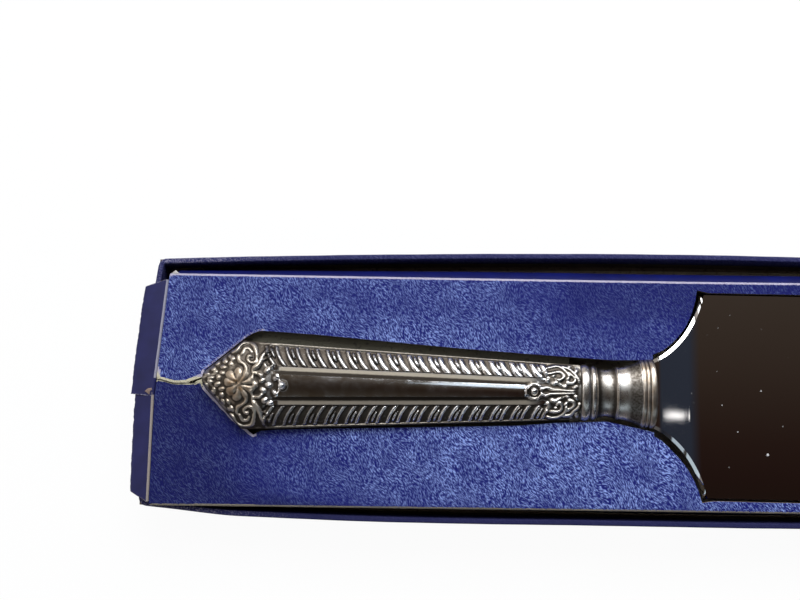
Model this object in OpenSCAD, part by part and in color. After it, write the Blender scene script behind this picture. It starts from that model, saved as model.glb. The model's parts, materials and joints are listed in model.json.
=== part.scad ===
// Cake server lying in the cut-out of its leatherette presentation tray.
// Millimetres, +Z up, +X towards the tip of the blade, +Y away from the viewer.
// The origin is the centre of the tray's underside.

/* [Handle] */
// Length of the two handle shells, from the point to the bolster
handle_l = 101; // [85:0.5:125]
// Width of the handle at the shoulders of its pointed end
handle_w = 23.6; // [19:0.2:29]
// Width of the handle where it meets the bolster
neck_w = 14.5; // [12:0.5:18]
// Thickness of the handle at its shoulders
handle_h = 14.5; // [11:0.5:18]
// Length of the pointed end
point_l = 11; // [8:0.5:14]
// Width of the blunt point
point_w = 3.6; // [2:0.2:5]
// Height of each shell at the blunt point
point_h = 4; // [2.5:0.1:5]
// Wall of the stamped shells at the point
shell_t = 0.8; // [0.5:0.05:1]

/* [Bolster and collar] */
// Length of the bolster
bolster_l = 16.2; // [13:0.1:20]
// Length of the two-ring collar
collar_l = 3.8; // [3:0.1:5]
// Width of the collar over its rings
collar_w = 18.6; // [15.5:0.1:22]
// Thickness of the bolster over its width
bolster_flatness = 0.64; // [0.61:0.01:0.8]
// Thickness of the collar over its width
collar_flatness = 0.54; // [0.45:0.01:0.7]

/* [Blade] */
// Length of the blade, from the collar to the tip
blade_l = 154; // [120:1:185]
// Width of the blade
blade_w = 55.2; // [44:0.1:68]
// Thickness of the blade
blade_t = 1.3; // [0.9:0.05:1.8]
// Drop of the flat blade below the axis of the handle
blade_drop = 3.4; // [2:0.1:5]
// Length of the sloping neck of the blade
crank_l = 9; // [6:0.1:12]
// Length of the concave shoulders, from the collar to the corners
shoulder_l = 14; // [12:0.1:17]
// Radius of the concave shoulders
shoulder_r = 25; // [18:0.1:32]
// Length of the pointed end of the blade
tip_l = 60; // [40:1:72]
// Length of the tang inside the handle and the bolster
tang_l = 66; // [50:1:80]
// Width of the tang
tang_w = 5; // [3.5:0.1:6]
// Thickness of the tang
tang_t = 2.4; // [1.8:0.1:3]

/* [Insert] */
// Space between the point of the handle and the left crease
tip_margin = 14.5; // [10:0.5:18]
// Space between the tip of the blade and the right crease
end_margin = 10; // [8:0.5:16]
// Space between the blade and each side crease
side_margin = 3.3; // [2.8:0.1:8]
// Thickness of the insert's card
card_t = 0.9; // [0.6:0.05:1.2]
// Thickness of the leatherette facing on the card
facing_t = 0.25; // [0.15:0.05:0.4]
// Height of the insert above the tray's rim
insert_proud = 2.4; // [2.2:0.1:4]
// Gap between the blade and its cut-out
blade_gap = 0.8; // [0.5:0.1:1.2]
// Gap between the shoulders of the blade and their cut-out
shoulder_gap = 1.8; // [1:0.1:2.5]
// Gap on the far side of the handle at its shoulders
far_gap = 2.6; // [1:0.1:3.2]
// Gap on the near side of the handle
near_gap = 1; // [0.6:0.1:2]
// Width of the tear that runs from the cut-out to the left end
tear_w = 0.5; // [0.3:0.1:1]
// Length of the left flap's far half
far_flap_l = 6; // [4:0.1:7]
// Length of the left flap's near half
near_flap_l = 4.9; // [4:0.1:6]
// Dip of the far half below level
far_flap_dip = 8; // [0:1:14]
// Dip of the near half below level
near_flap_dip = 12; // [0:1:14]

/* [Tray] */
// Height of the tray's rim above the table
rim_h = 16.6; // [14:0.1:22]
// Thickness of the greyboard
board_t = 1; // [0.8:0.1:1.6]
// Thickness of the covering paper
paper_t = 0.25; // [0.2:0.05:0.4]
// Thickness of the paper that lines the floor
lining_t = 0.2; // [0.1:0.05:0.4]
// Space between the insert and the tray at each end
end_gap = 2.2; // [0.6:0.1:2.4]
// Space between the insert and the tray at the corners
side_gap = 1.2; // [0.6:0.1:2]
// How far the long walls bow out at mid-length
wall_bow = 3; // [2:0.5:5]
// How far the far left corner is pushed in
end_skew = 2.6; // [0:0.2:3]
// Depth of the covering paper turned in over the rim
turn_in = 8; // [5:0.5:10]

/* [How it lies] */
// Depth of the handle's pad below the handle's axis
cradle_sink = 3; // [2:0.1:5]
// Depth of the handle's axis below the top of the insert
axis_sink = 0.2; // [0:0.1:2]
// Turn of the server and its cut-out about the vertical, clockwise
yaw = 0.45; // [0:0.05:0.5]
// Roll of the server about its axis, leaning to the near side
roll = 1; // [0:0.5:6]
// How far the loose insert lies towards the near side
insert_shift = 1.5; // [0:0.1:1.6]
// How far the feet of the side legs splay out
leg_splay = 2.6; // [0:0.1:3]
// Sideways place of the handle's point, towards the far side
point_y = 1.05; // [0:0.05:1.2]

/* [Hidden] */
$fn = 64;

leatherette = "midnightblue";
greyboard = "dimgray";
silver_plate = "silver";

// Clearance between pieces that are cemented together
cement_gap = 0.08;
// Clearance between a crease's roll and the edge of the panel
crease_gap = 0.06;
// Clearance under the handle
cradle_gap = 0.25;
// Clearance between a splayed leg and the wall
leg_gap = 0.3;
// Overshoot of cuts beyond the faces that they open
over = 1;
// Number of steps along a bowed wall
bow_steps = 24;

server_l = handle_l + bolster_l + collar_l + blade_l;
collar_x = handle_l + bolster_l;
blade_x = collar_x + collar_l;
insert_l = server_l + tip_margin + end_margin;
insert_w = blade_w + 2 * side_margin;
insert_t = card_t + facing_t;
insert_top = rim_h + insert_proud;
axis_z = insert_top - axis_sink;
floor_z = paper_t + board_t + lining_t;
wall_t = 2 * paper_t + board_t;
panel_z = insert_top - insert_t;
left_x = -insert_l / 2;

// The width that the handle's taper would reach at its point, and its thickness there
root_w = handle_w + (handle_w - neck_w) * point_l / (handle_l - point_l);
root_q = root_w / 2 * handle_h / handle_w;

// Where the tear meets the left crease, and where it parts the left flap
tear_y = 2.7;
flap_split_y = -2;
flap_mitre = 2.5;
crease_r = insert_t / 2 + 0.06;

function mirrored(points) = concat(points, [for (i = [len(points) - 1 : -1 : 0]) [-points[i][0], points[i][1]]]);
function flipped(points) = concat(points, [for (i = [len(points) - 1 : -1 : 0]) [points[i][0], -points[i][1]]]);

// Bow of a long wall at x, for a wall that ends at half_l
function bow_at(x, half_l) = wall_bow * (1 - pow(x / half_l, 2));

// Plan of the tray, grown by g from the space inside its walls
function tray_outline(g) =
    let (a = insert_l / 2 + end_gap + g, b = insert_w / 2 + side_gap + g)
    concat(
        [for (i = [0 : bow_steps]) let (x = -a + 2 * a * i / bow_steps) [x, -b - bow_at(x, a)]],
        [for (i = [0 : bow_steps]) let (x = a - (2 * a - end_skew) * i / bow_steps) [x, b + bow_at(x, a)]],
        [[-a, flap_split_y - insert_shift]]
    );

// Plan of the insert, set in by s from its left crease
function insert_outline(s) = [
    [left_x + s, -insert_w / 2], [insert_l / 2, -insert_w / 2], [insert_l / 2, insert_w / 2],
    [left_x + end_skew + s, insert_w / 2], [left_x + s, flap_split_y],
];

// Top half of the handle's section: rib, valley, gadroon lane and rim, for a width w and a half thickness q
function handle_section(w, q) =
    let (h = w / 2, rib = 0.268 * h, valley = 0.44 * h, lane = 0.945 * h)
    mirrored(concat(
        [for (i = [0.5 : 1 : 4.5]) let (y = rib * i / 4.5) [y, q * (1 - 0.13 * pow(y / rib, 2))]],
        [[rib, 0.8 * q], [valley, 0.7 * q]],
        [for (i = [0 : 5]) [valley + (lane - valley) * i / 5, q * (0.74 - 0.28 * i / 5 + 0.07 * sin(36 * i))]],
        [[lane, 0.4 * q], [h, 0.38 * q], [h, 0]]
    ));

// One quarter of the cavity inside the shells, for walls of s
function cavity_quarter(w, q, s) =
    let (h = w / 2)
    [[0.12 * h, 0.85 * q - s], [0.25 * h, 0.79 * q - s], [0.44 * h, 0.7 * q - s], [h - s, 0.38 * q - s], [h - s, 0]];

// Centre of a circle of radius r through p and q, on the left of the way from p to q
function arc_centre(p, q, r) =
    let (d = q - p, m = norm(d), n = [-d[1], d[0]] / m) (p + q) / 2 + n * sqrt(r * r - m * m / 4);

// Runs a section in the YZ plane along +X, shrinking it from the point to the neck
module along_handle(section) {
    rotate([90, 0, 90]) linear_extrude(height = handle_l, scale = neck_w / root_w) polygon(section);
}

// Runs an outline in the XZ plane across the handle
module across(points) {
    rotate([90, 0, 0]) linear_extrude(height = root_w + 2 * over, center = true) polygon(points);
}

// Plan of the pointed handle, set in by s
module point_plan(s) {
    half = root_w / 2;
    translate([0, 0, -root_w]) linear_extrude(height = 2 * root_w)
        polygon([
            [s, -point_w / 2], [s, point_w / 2], [point_l + s, half], [handle_l, half],
            [handle_l, -half], [point_l + s, -half],
        ]);
}

// Height of one shell along the handle, set in by s
function shell_profile(s) = [[s, point_h - s], [point_l + s, root_q], [handle_l, root_q]];

module handle_half() {
    difference() {
        intersection() {
            along_handle(handle_section(root_w, root_q));
            point_plan(0);
            across(concat([[0, 0]], shell_profile(0), [[handle_l, 0]]));
        }
        intersection() {
            along_handle(mirrored(cavity_quarter(root_w, root_q, shell_t)));
            point_plan(shell_t);
            across(concat([[shell_t, 0]], shell_profile(shell_t), [[handle_l, 0]]));
        }
    }
}

// A bar along the tang, larger by c all round, from x0 to the collar's face
module tang_bar(x0, c) {
    translate([x0, -tang_w / 2 - c, -tang_t / 2 - c]) cube([blade_x - x0, tang_w + 2 * c, tang_t + 2 * c]);
}

// Thickness over width at x, from the bolster to the collar
function flatness_at(x) =
    bolster_flatness + (collar_flatness - bolster_flatness) * min(1, (x - handle_l) / bolster_l);

// An oval turning from a profile of [x, half width] points
module oval_turning(profile) {
    n = 36;
    rings = [
        for (p = profile, i = [0 : n - 1])
            [p[0], p[1] * cos(360 * i / n), p[1] * flatness_at(p[0]) * sin(360 * i / n)]
    ];
    last = len(profile) - 1;
    walls = [
        for (k = [0 : last - 1], i = [0 : n - 1])
            let (a = k * n + i, b = k * n + (i + 1) % n)
            each [[a, b, b + n], [a, b + n, a + n]]
    ];
    ends = [[for (i = [n - 1 : -1 : 0]) i], [for (i = [0 : n - 1]) last * n + i]];
    polyhedron(rings, [for (f = concat(walls, ends)) [for (i = [len(f) - 1 : -1 : 0]) f[i]]]);
}

// Puts the server's pieces where the server lies
module lie() {
    translate([left_x + tip_margin, point_y - insert_shift, axis_z]) rotate([roll, 0, -yaw]) children();
}

// Plan of the blade, grown by g along its sides and by s at its shoulders
module blade_plan(g, s) {
    half = blade_w / 2;
    tip_r = (tip_l * tip_l + half * half) / blade_w;
    neck = [blade_x, collar_w / 2 - cement_gap];
    corner = [blade_x + shoulder_l, half];
    centre = arc_centre(neck, corner, shoulder_r);
    tip_x = server_l - tip_l;
    difference() {
        union() {
            translate([blade_x, -half - g]) square([tip_x - blade_x, blade_w + 2 * g]);
            intersection() {
                translate([tip_x, half - tip_r]) circle(r = tip_r + g, $fn = 128);
                translate([tip_x, tip_r - half]) circle(r = tip_r + g, $fn = 128);
                translate([tip_x - over, -half - g]) square([tip_l + g + over, blade_w + 2 * g]);
            }
        }
        for (side = [-1, 1]) translate([centre[0], side * centre[1]]) circle(r = shoulder_r - s, $fn = 128);
    }
}

module blade() {
    ramp = [for (i = [0 : 12]) [blade_x + 0.8 + crank_l * i / 12, -blade_drop * (1 - cos(15 * i)) / 2]];
    line = concat([[blade_x, 0]], ramp, [[server_l + over, -blade_drop]]);
    profile = concat(
        [for (p = line) p + [0, blade_t / 2]],
        [for (i = [len(line) - 1 : -1 : 0]) line[i] - [0, blade_t / 2]]
    );
    color("gainsboro") lie() {
        intersection() {
            translate([0, 0, -2 * blade_drop]) linear_extrude(height = 4 * blade_drop) blade_plan(0, 0);
            rotate([90, 0, 0]) linear_extrude(height = blade_w + 2 * over, center = true) polygon(profile);
        }
        tang_bar(blade_x - tang_l, 0);
    }
}

module collar() {
    r = collar_w / 2;
    ring = collar_l / 2;
    groove = 0.02;
    rings = [
        for (k = [0, 1], i = [0 : 5])
            [collar_x + ring * k + groove * k + (ring - groove) * i / 5, r - 0.5 + 0.5 * sin(36 * i)]
    ];
    color(silver_plate) lie() difference() {
        oval_turning(rings);
        tang_bar(collar_x - over, cement_gap);
    }
}

module bolster() {
    r = neck_w / 2;
    end_r = collar_w / 2 - 0.5;
    bead_l = 3.2;
    fillet_l = 1.6;
    bead = [for (i = [0 : 6]) [handle_l + bead_l * i / 6, r + 0.45 * sin(30 * i)]];
    fillet = [for (i = [1 : 4]) [handle_l + bead_l + 0.6 + fillet_l * i / 4, r - 0.1 + 0.3 * sin(36 * i)]];
    flare_x = handle_l + bead_l + 0.6 + fillet_l;
    flare = [
        for (i = [1 : 8]) let (t = i / 8)
            [flare_x + (collar_x - flare_x) * t, r - 0.35 * sin(180 * t) + (end_r - r) * pow(t, 2.4)]
    ];
    color(silver_plate) lie() difference() {
        oval_turning(concat(bead, fillet, flare));
        tang_bar(handle_l - over, cement_gap);
    }
}

module handle_top_shell() {
    color(silver_plate) lie() handle_half();
}

module handle_bottom_shell() {
    color(silver_plate) lie() mirror([0, 0, 1]) handle_half();
}

module handle_filler() {
    s = shell_t + cement_gap;
    color("saddlebrown") lie() difference() {
        intersection() {
            along_handle(mirrored(flipped(cavity_quarter(root_w, root_q, s))));
            point_plan(s + cement_gap);
            across(flipped(shell_profile(s + cement_gap)));
        }
        tang_bar(blade_x - tang_l - cement_gap, cement_gap);
    }
}

// Cut-out of the server in the insert, in the server's own plan
module recess() {
    root = root_w / 2;
    blunt_x = -near_gap / 2;
    blunt_y = point_w / 2 + near_gap / 2;
    far_y = root + far_gap;
    near_y = root + 2 * near_gap;
    far_neck = collar_w / 2 + near_gap / 2;
    near_neck = collar_w / 2 + near_gap;
    neck_x = collar_x - bolster_l / 2;
    // Run along the pointed end for each millimetre across it
    point_run = point_l / (root - point_w / 2);
    far_x = blunt_x + (far_y - blunt_y) * point_run;
    near_x = blunt_x + (near_y - blunt_y) * point_run;
    blade_plan(blade_gap, shoulder_gap);
    polygon([
        [blunt_x, -blunt_y], [blunt_x, blunt_y], [far_x, far_y], [far_x + 2 * far_gap, far_y - 0.2],
        [neck_x, far_neck], [blade_x + over, far_neck], [blade_x + over, -near_neck],
        [neck_x, -near_neck + near_gap], [near_x + 2 * near_gap, -near_y + near_gap], [near_x, -near_y],
    ]);
}

// Puts the insert's pieces where the loose insert lies
module seat() {
    translate([0, -insert_shift, 0]) children();
}

// The tear from the left crease to the cut-out
module tear() {
    path = [[left_x - over, tear_y], [left_x + 3.2, tear_y - 0.4], [left_x + 6.5, tear_y - 0.95],
            [left_x + 9.7, tear_y - 1.1], [left_x + tip_margin + over, tear_y - 1.05]];
    polygon(concat(path, [for (i = [len(path) - 1 : -1 : 0]) path[i] - [0, tear_w]]));
}

module insert_sheet(t) {
    linear_extrude(height = t) difference() {
        polygon(insert_outline(crease_r + crease_gap));
        translate([left_x + tip_margin, point_y]) rotate(-yaw) recess();
        tear();
    }
}

module insert_panel() {
    color(greyboard) seat() translate([0, 0, panel_z]) insert_sheet(card_t);
}

module insert_facing() {
    color(leatherette) seat() translate([0, 0, panel_z + card_t]) insert_sheet(facing_t);
}

// Room between a side crease and the tray's wall at x, on the side +1 or -1
function side_room(side, x) = side_gap + side * insert_shift + bow_at(x, insert_l / 2 + end_gap);

// A leg folded down along a side crease, its foot splayed out as far as the bowed wall lets it
module side_leg(side, x0) {
    steps = 20;
    need = leg_gap - side_gap - side * insert_shift;
    fit_x = (insert_l / 2 + end_gap) * sqrt(1 - max(0, need) / wall_bow);
    start = max(x0, -fit_x);
    end = min(insert_l / 2 - insert_t - crease_gap, fit_x);
    stations = [
        for (i = [0 : steps])
            let (
                x = start + (end - start) * i / steps,
                top = insert_w / 2,
                foot = top + max(0, min(leg_splay, side_room(side, x) - leg_gap))
            )
            [[x, side * top, panel_z], [x, side * (top - insert_t), panel_z],
             [x, side * (foot - insert_t), floor_z], [x, side * foot, floor_z]]
    ];
    points = [for (s = stations, p = s) p];
    walls = [
        for (i = [0 : steps - 1], k = [0 : 3])
            let (a = 4 * i + k, b = 4 * i + (k + 1) % 4)
            each [[a, b, b + 4], [a, b + 4, a + 4]]
    ];
    last = 4 * steps;
    caps = [[0, 2, 1], [0, 3, 2], [last, last + 1, last + 2], [last, last + 2, last + 3]];
    faces = concat(walls, caps);
    polyhedron(points, side > 0 ? [for (f = faces) [f[2], f[1], f[0]]] : faces);
}

module far_leg() {
    color(leatherette) seat() side_leg(1, left_x + end_skew + flap_mitre);
}

module near_leg() {
    color(leatherette) seat() side_leg(-1, left_x + flap_mitre);
}

module right_leg() {
    w = insert_w - 2 * insert_t - 2 * over;
    color(leatherette) seat() translate([insert_l / 2 - insert_t, -w / 2, floor_z])
        cube([insert_t, w, panel_z - floor_z]);
}

// One half of the left flap, hinged on the crease from p to q and dipping below level
module left_flap(p, q, flap_l, dip) {
    d = q - p;
    m = norm(d);
    translate([p[0], p[1], insert_top - insert_t / 2]) rotate([0, 0, atan2(d[1], d[0])]) rotate([-dip, 0, 0]) {
        translate([0, 0, -insert_t / 2]) linear_extrude(height = insert_t)
            polygon([[0, 0], [m, 0], [m - flap_mitre * 0.4, flap_l], [flap_mitre * 0.2, flap_l]]);
        rotate([0, 90, 0]) cylinder(r = crease_r, h = m);
    }
}

module left_flap_far() {
    far_run = insert_w / 2 - flap_split_y;
    slope = end_skew / far_run;
    start = [left_x, flap_split_y] + tear_w * [slope, 1];
    end = [left_x + end_skew, insert_w / 2] - flap_mitre / 2 * [slope, 1];
    color(leatherette) seat() left_flap(start, end, far_flap_l, far_flap_dip);
}

module left_flap_near() {
    start = [left_x, -insert_w / 2 + flap_mitre / 4];
    end = [left_x, flap_split_y - tear_w];
    color(leatherette) seat() left_flap(start, end, near_flap_l, near_flap_dip);
}

// A ring of the tray's plan between the outlines grown by g0 and g1
module tray_ring(g0, g1, z0, z1) {
    translate([0, 0, z0]) linear_extrude(height = z1 - z0) difference() {
        polygon(tray_outline(g1));
        polygon(tray_outline(g0));
    }
}

module tray_plate(g, z0, t) {
    translate([0, 0, z0]) linear_extrude(height = t) polygon(tray_outline(g));
}

module base_paper() {
    color(leatherette) tray_plate(wall_t, 0, paper_t);
}

module tray_board() {
    color(greyboard) difference() {
        tray_plate(paper_t + board_t, paper_t, rim_h - 2 * paper_t);
        tray_plate(paper_t, paper_t + board_t, rim_h);
    }
}

module outer_wrap() {
    color(leatherette) difference() {
        tray_ring(0, wall_t, paper_t, rim_h);
        tray_plate(paper_t + board_t, 0, rim_h - turn_in);
        tray_ring(paper_t, paper_t + board_t, 0, rim_h - paper_t);
    }
}

module corner_stays() {
    stay_l = 9;
    stay_t = 0.2;
    top_z = rim_h - turn_in - cement_gap;
    color("burlywood") intersection() {
        tray_ring(paper_t - stay_t, paper_t, paper_t + board_t, top_z);
        union() for (sx = [-1, 1], sy = [-1, 1])
            translate([sx * insert_l / 2, sy * insert_w / 2, 0])
                linear_extrude(height = rim_h) square(2 * stay_l, center = true);
    }
}

module floor_lining() {
    color("tan") tray_plate(-cement_gap, paper_t + board_t, lining_t);
}

// A card block under the server, from x0 along it, whose top is at z in the server's own frame
module rest_block(x0, block_l, block_w, z) {
    intersection() {
        lie() translate([x0, -block_w / 2, z - 2 * rim_h]) cube([block_l, block_w, 2 * rim_h]);
        tray_plate(0, floor_z, rim_h);
    }
}

// Pad under the handle, with a trough that follows its underside
module handle_cradle() {
    h = root_w / 2 + cradle_gap;
    q = root_q + cradle_gap;
    end_space = 2;
    trough = [[h, root_q], [h, -0.4 * q], [0.44 * h, -0.86 * q], [0.27 * h, -q]];
    color(greyboard) difference() {
        rest_block(end_space, handle_l - 2 * end_space, root_w + 2 * far_gap, -cradle_sink);
        lie() along_handle(mirrored(trough));
    }
}

module blade_rest() {
    color(greyboard) rest_block(blade_x + 0.4 * blade_l, 14, blade_w - 8, -blade_drop - blade_t / 2);
}

base_paper();
tray_board();
outer_wrap();
corner_stays();
floor_lining();
handle_cradle();
blade_rest();
insert_panel();
insert_facing();
far_leg();
near_leg();
right_leg();
left_flap_far();
left_flap_near();
blade();
collar();
bolster();
handle_top_shell();
handle_bottom_shell();
handle_filler();
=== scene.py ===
"""Looks of a cake server lying in its leatherette presentation tray.

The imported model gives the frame. Each sub-assembly below is a class that builds its own
meshes in millimetres, dresses them in a finish and seats them on a body of the frame.
"""

import json
import logging
import math
from dataclasses import dataclass, field
from enum import Enum
from typing import Callable, Sequence

import bmesh
import bpy
import numpy as np
from mathutils import Euler, Matrix, Vector
from mathutils.geometry import delaunay_2d_cdt


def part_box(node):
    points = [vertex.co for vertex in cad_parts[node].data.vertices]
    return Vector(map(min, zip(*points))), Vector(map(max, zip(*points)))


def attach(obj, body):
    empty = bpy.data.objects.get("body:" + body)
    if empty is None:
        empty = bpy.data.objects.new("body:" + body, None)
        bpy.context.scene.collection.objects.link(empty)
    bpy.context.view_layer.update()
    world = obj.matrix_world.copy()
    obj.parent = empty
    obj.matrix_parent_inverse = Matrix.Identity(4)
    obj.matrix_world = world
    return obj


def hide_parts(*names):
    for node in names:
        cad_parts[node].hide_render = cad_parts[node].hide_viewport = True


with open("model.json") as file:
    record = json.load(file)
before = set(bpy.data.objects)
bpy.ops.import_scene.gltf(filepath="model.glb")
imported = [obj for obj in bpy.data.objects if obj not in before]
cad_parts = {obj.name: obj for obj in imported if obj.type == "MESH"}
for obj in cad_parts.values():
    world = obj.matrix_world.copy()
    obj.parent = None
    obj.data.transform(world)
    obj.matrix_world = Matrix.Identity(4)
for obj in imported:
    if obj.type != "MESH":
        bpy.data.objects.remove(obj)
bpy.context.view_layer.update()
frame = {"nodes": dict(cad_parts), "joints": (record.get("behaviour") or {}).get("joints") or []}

LOG = logging.getLogger("cake_server")
MM = 0.001
SEED = 1937

Array = np.ndarray
Socket = bpy.types.NodeSocket
Colour = tuple[float, float, float]
Point = tuple[float, float]


class Body(Enum):
    """Bodies of the frame that pieces ride on."""

    TRAY = "tray"
    INSERT = "insert"
    FLAP_FAR = "flap_far"
    FLAP_NEAR = "flap_near"
    SERVER = "server"


class Slot(Enum):
    """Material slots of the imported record."""

    LEATHERETTE = "leatherette"
    FLAP_PAPER = "flap_paper"
    GREYBOARD = "greyboard"
    INSERT_CARD = "insert_card"
    STAY_TAPE = "stay_tape"
    SILVER_PLATE = "silver_plate"
    POLISHED_STEEL = "polished_steel"
    HANDLE_CEMENT = "handle_cement"


class Mark(Enum):
    """Point attributes that the finishes read."""

    WEAR = "wear"
    HOLLOW = "hollow"
    BLOOM = "bloom"
    # painted shade and sheen on the leatherette; how matt the plate is on the silver
    SHADE = "shade"


# Shader sheets and finishes


class NodeSheet:
    """A sheet of nodes, with short calls that add and link them."""

    def __init__(self, tree: bpy.types.NodeTree) -> None:
        """Takes the node tree to draw on."""
        self.tree = tree

    def put(self, node: bpy.types.Node, socket: str | int, value: object) -> None:
        """Links an output to a node's socket, or sets a constant on it.

        Args:
            node: The node that takes the value.
            socket: The socket's name or its place in the list.
            value: An output socket, a number or a tuple.
        """
        if isinstance(value, Socket):
            self.tree.links.new(value, node.inputs[socket])
        else:
            node.inputs[socket].default_value = value

    def add(self, kind: str, **settings: object) -> bpy.types.Node:
        """Adds a node and sets its own settings.

        Args:
            kind: The node's type without the leading ShaderNode.
            settings: Properties of the node.

        Returns:
            The new node.
        """
        node = self.tree.nodes.new("ShaderNode" + kind)
        for name, value in settings.items():
            setattr(node, name, value)
        return node

    def ramp(self, value: Socket, *stops: tuple[float, float | Colour]) -> Socket:
        """Maps a value to greys or colours.

        Args:
            value: The value to map.
            stops: Pairs of a place from 0 to 1 and a grey or a colour.

        Returns:
            The colour output.
        """
        node = self.add("ValToRGB")
        self.put(node, "Fac", value)
        marks = node.color_ramp.elements
        while len(marks) < len(stops):
            marks.new(0.5)
        for mark, (spot, tone) in zip(marks, stops):
            mark.position = spot
            mark.color = (*tone, 1) if isinstance(tone, tuple) else (tone, tone, tone, 1)
        return node.outputs["Color"]

    def blend(self, share: object, a: object, b: object, kind: str = "MIX") -> Socket:
        """Mixes two colours.

        Args:
            share: Share of the second colour.
            a: First colour.
            b: Second colour.
            kind: Blend type.

        Returns:
            The colour output.
        """
        node = self.add("MixRGB", blend_type=kind)
        self.put(node, "Fac", share)
        for socket, tone in (("Color1", a), ("Color2", b)):
            self.put(node, socket, (*tone, 1) if isinstance(tone, tuple) and len(tone) == 3 else tone)
        return node.outputs["Color"]

    def sum(self, kind: str, a: object, b: object = 0.0, clip: bool = False) -> Socket:
        """Works out one number from two.

        Args:
            kind: Operation of the node.
            a: First number.
            b: Second number.
            clip: Keeps the result from 0 to 1.

        Returns:
            The value output.
        """
        node = self.add("Math", operation=kind, use_clamp=clip)
        self.put(node, 0, a)
        self.put(node, 1, b)
        return node.outputs["Value"]


class ShaderSheet(NodeSheet):
    """The node sheet of one material."""

    def __init__(self, name: str) -> None:
        """Makes a material of that name with its plain surface shader."""
        self.material = bpy.data.materials.new(name)
        self.material.use_nodes = True
        super().__init__(self.material.node_tree)
        self.surface = self.tree.nodes["Principled BSDF"]
        self.output = self.tree.nodes["Material Output"]

    def shader(self, **sockets: object) -> None:
        """Sets or links sockets of the surface shader; underscores stand for spaces."""
        for name, value in sockets.items():
            self.put(self.surface, name.replace("_", " "), value)

    def millimetres(self, scale: Sequence[float] = (1, 1, 1), turn: float = 0) -> Socket:
        """Coordinates on the piece in millimetres.

        Args:
            scale: Factors along the three axes.
            turn: Turn about the vertical in degrees, before the scale.

        Returns:
            The vector output.
        """
        place = self.add("TexCoord").outputs["Object"]
        if turn:
            spun = self.add("VectorRotate", rotation_type="Z_AXIS")
            self.put(spun, "Vector", place)
            self.put(spun, "Angle", math.radians(turn))
            place = spun.outputs["Vector"]
        grown = self.add("Mapping")
        self.put(grown, "Vector", place)
        self.put(grown, "Scale", tuple(s / MM for s in scale))
        return grown.outputs["Vector"]

    def noise(self, place: Socket, size: float, detail: float = 2.0,
              rough: float = 0.5, warp: float = 0.0) -> Socket:
        """Cloudy noise with features of about size millimetres.

        Args:
            place: Coordinates in millimetres.
            size: Size of the clouds.
            detail: Octaves of finer noise.
            rough: Weight of the finer octaves.
            warp: Distortion.

        Returns:
            The value output, from 0 to 1.
        """
        node = self.add("TexNoise")
        self.put(node, "Vector", place)
        self.put(node, "Scale", 1.0 / size)
        self.put(node, "Detail", detail)
        self.put(node, "Roughness", rough)
        self.put(node, "Distortion", warp)
        return node.outputs["Fac"]

    def cells(self, place: Socket, size: float) -> tuple[Socket, Socket]:
        """Irregular cells of about size millimetres.

        Args:
            place: Coordinates in millimetres.
            size: Size of the cells.

        Returns:
            The distance from the cells' centres and a tone of its own for each cell.
        """
        node = self.add("TexVoronoi", feature="F1", voronoi_dimensions="3D")
        self.put(node, "Vector", place)
        self.put(node, "Scale", 1.0 / size)
        return node.outputs["Distance"], node.outputs["Color"]

    def pushed(self, place: Socket, size: float, reach: Sequence[float]) -> Socket:
        """Coordinates pushed about by cloudy noise.

        Args:
            place: Coordinates in millimetres.
            size: Size of the clouds.
            reach: Greatest push along the three axes.

        Returns:
            The vector output.
        """
        cloud = self.add("TexNoise")
        self.put(cloud, "Vector", place)
        self.put(cloud, "Scale", 1.0 / size)
        self.put(cloud, "Detail", 1.0)
        push = self.add("VectorMath", operation="MULTIPLY_ADD")
        self.put(push, 0, cloud.outputs["Color"])
        self.put(push, 1, tuple(reach))
        self.put(push, 2, place)
        return push.outputs["Vector"]

    def mark(self, name: Mark) -> Socket:
        """Value of a point attribute of the piece."""
        return self.add("Attribute", attribute_name=name.value).outputs["Fac"]

    def bump(self, height: Socket, depth: float) -> Socket:
        """Turns a height pattern into a bumped normal.

        Args:
            height: Pattern from 0 to 1.
            depth: Depth of the relief in millimetres.

        Returns:
            The normal output.
        """
        node = self.add("Bump")
        self.put(node, "Height", height)
        self.put(node, "Distance", depth * MM)
        return node.outputs["Normal"]


@dataclass(frozen=True)
class Finish:
    """A surface finish; a subclass paints its own node sheet."""

    name: str

    def paint(self, sheet: ShaderSheet) -> None:
        """Draws the finish on a node sheet."""
        raise NotImplementedError

    def material(self) -> bpy.types.Material:
        """The finish as a material, made the first time it is asked for."""
        found = bpy.data.materials.get(self.name)
        if found is not None:
            return found
        sheet = ShaderSheet(self.name)
        self.paint(sheet)
        return sheet.material


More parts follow.
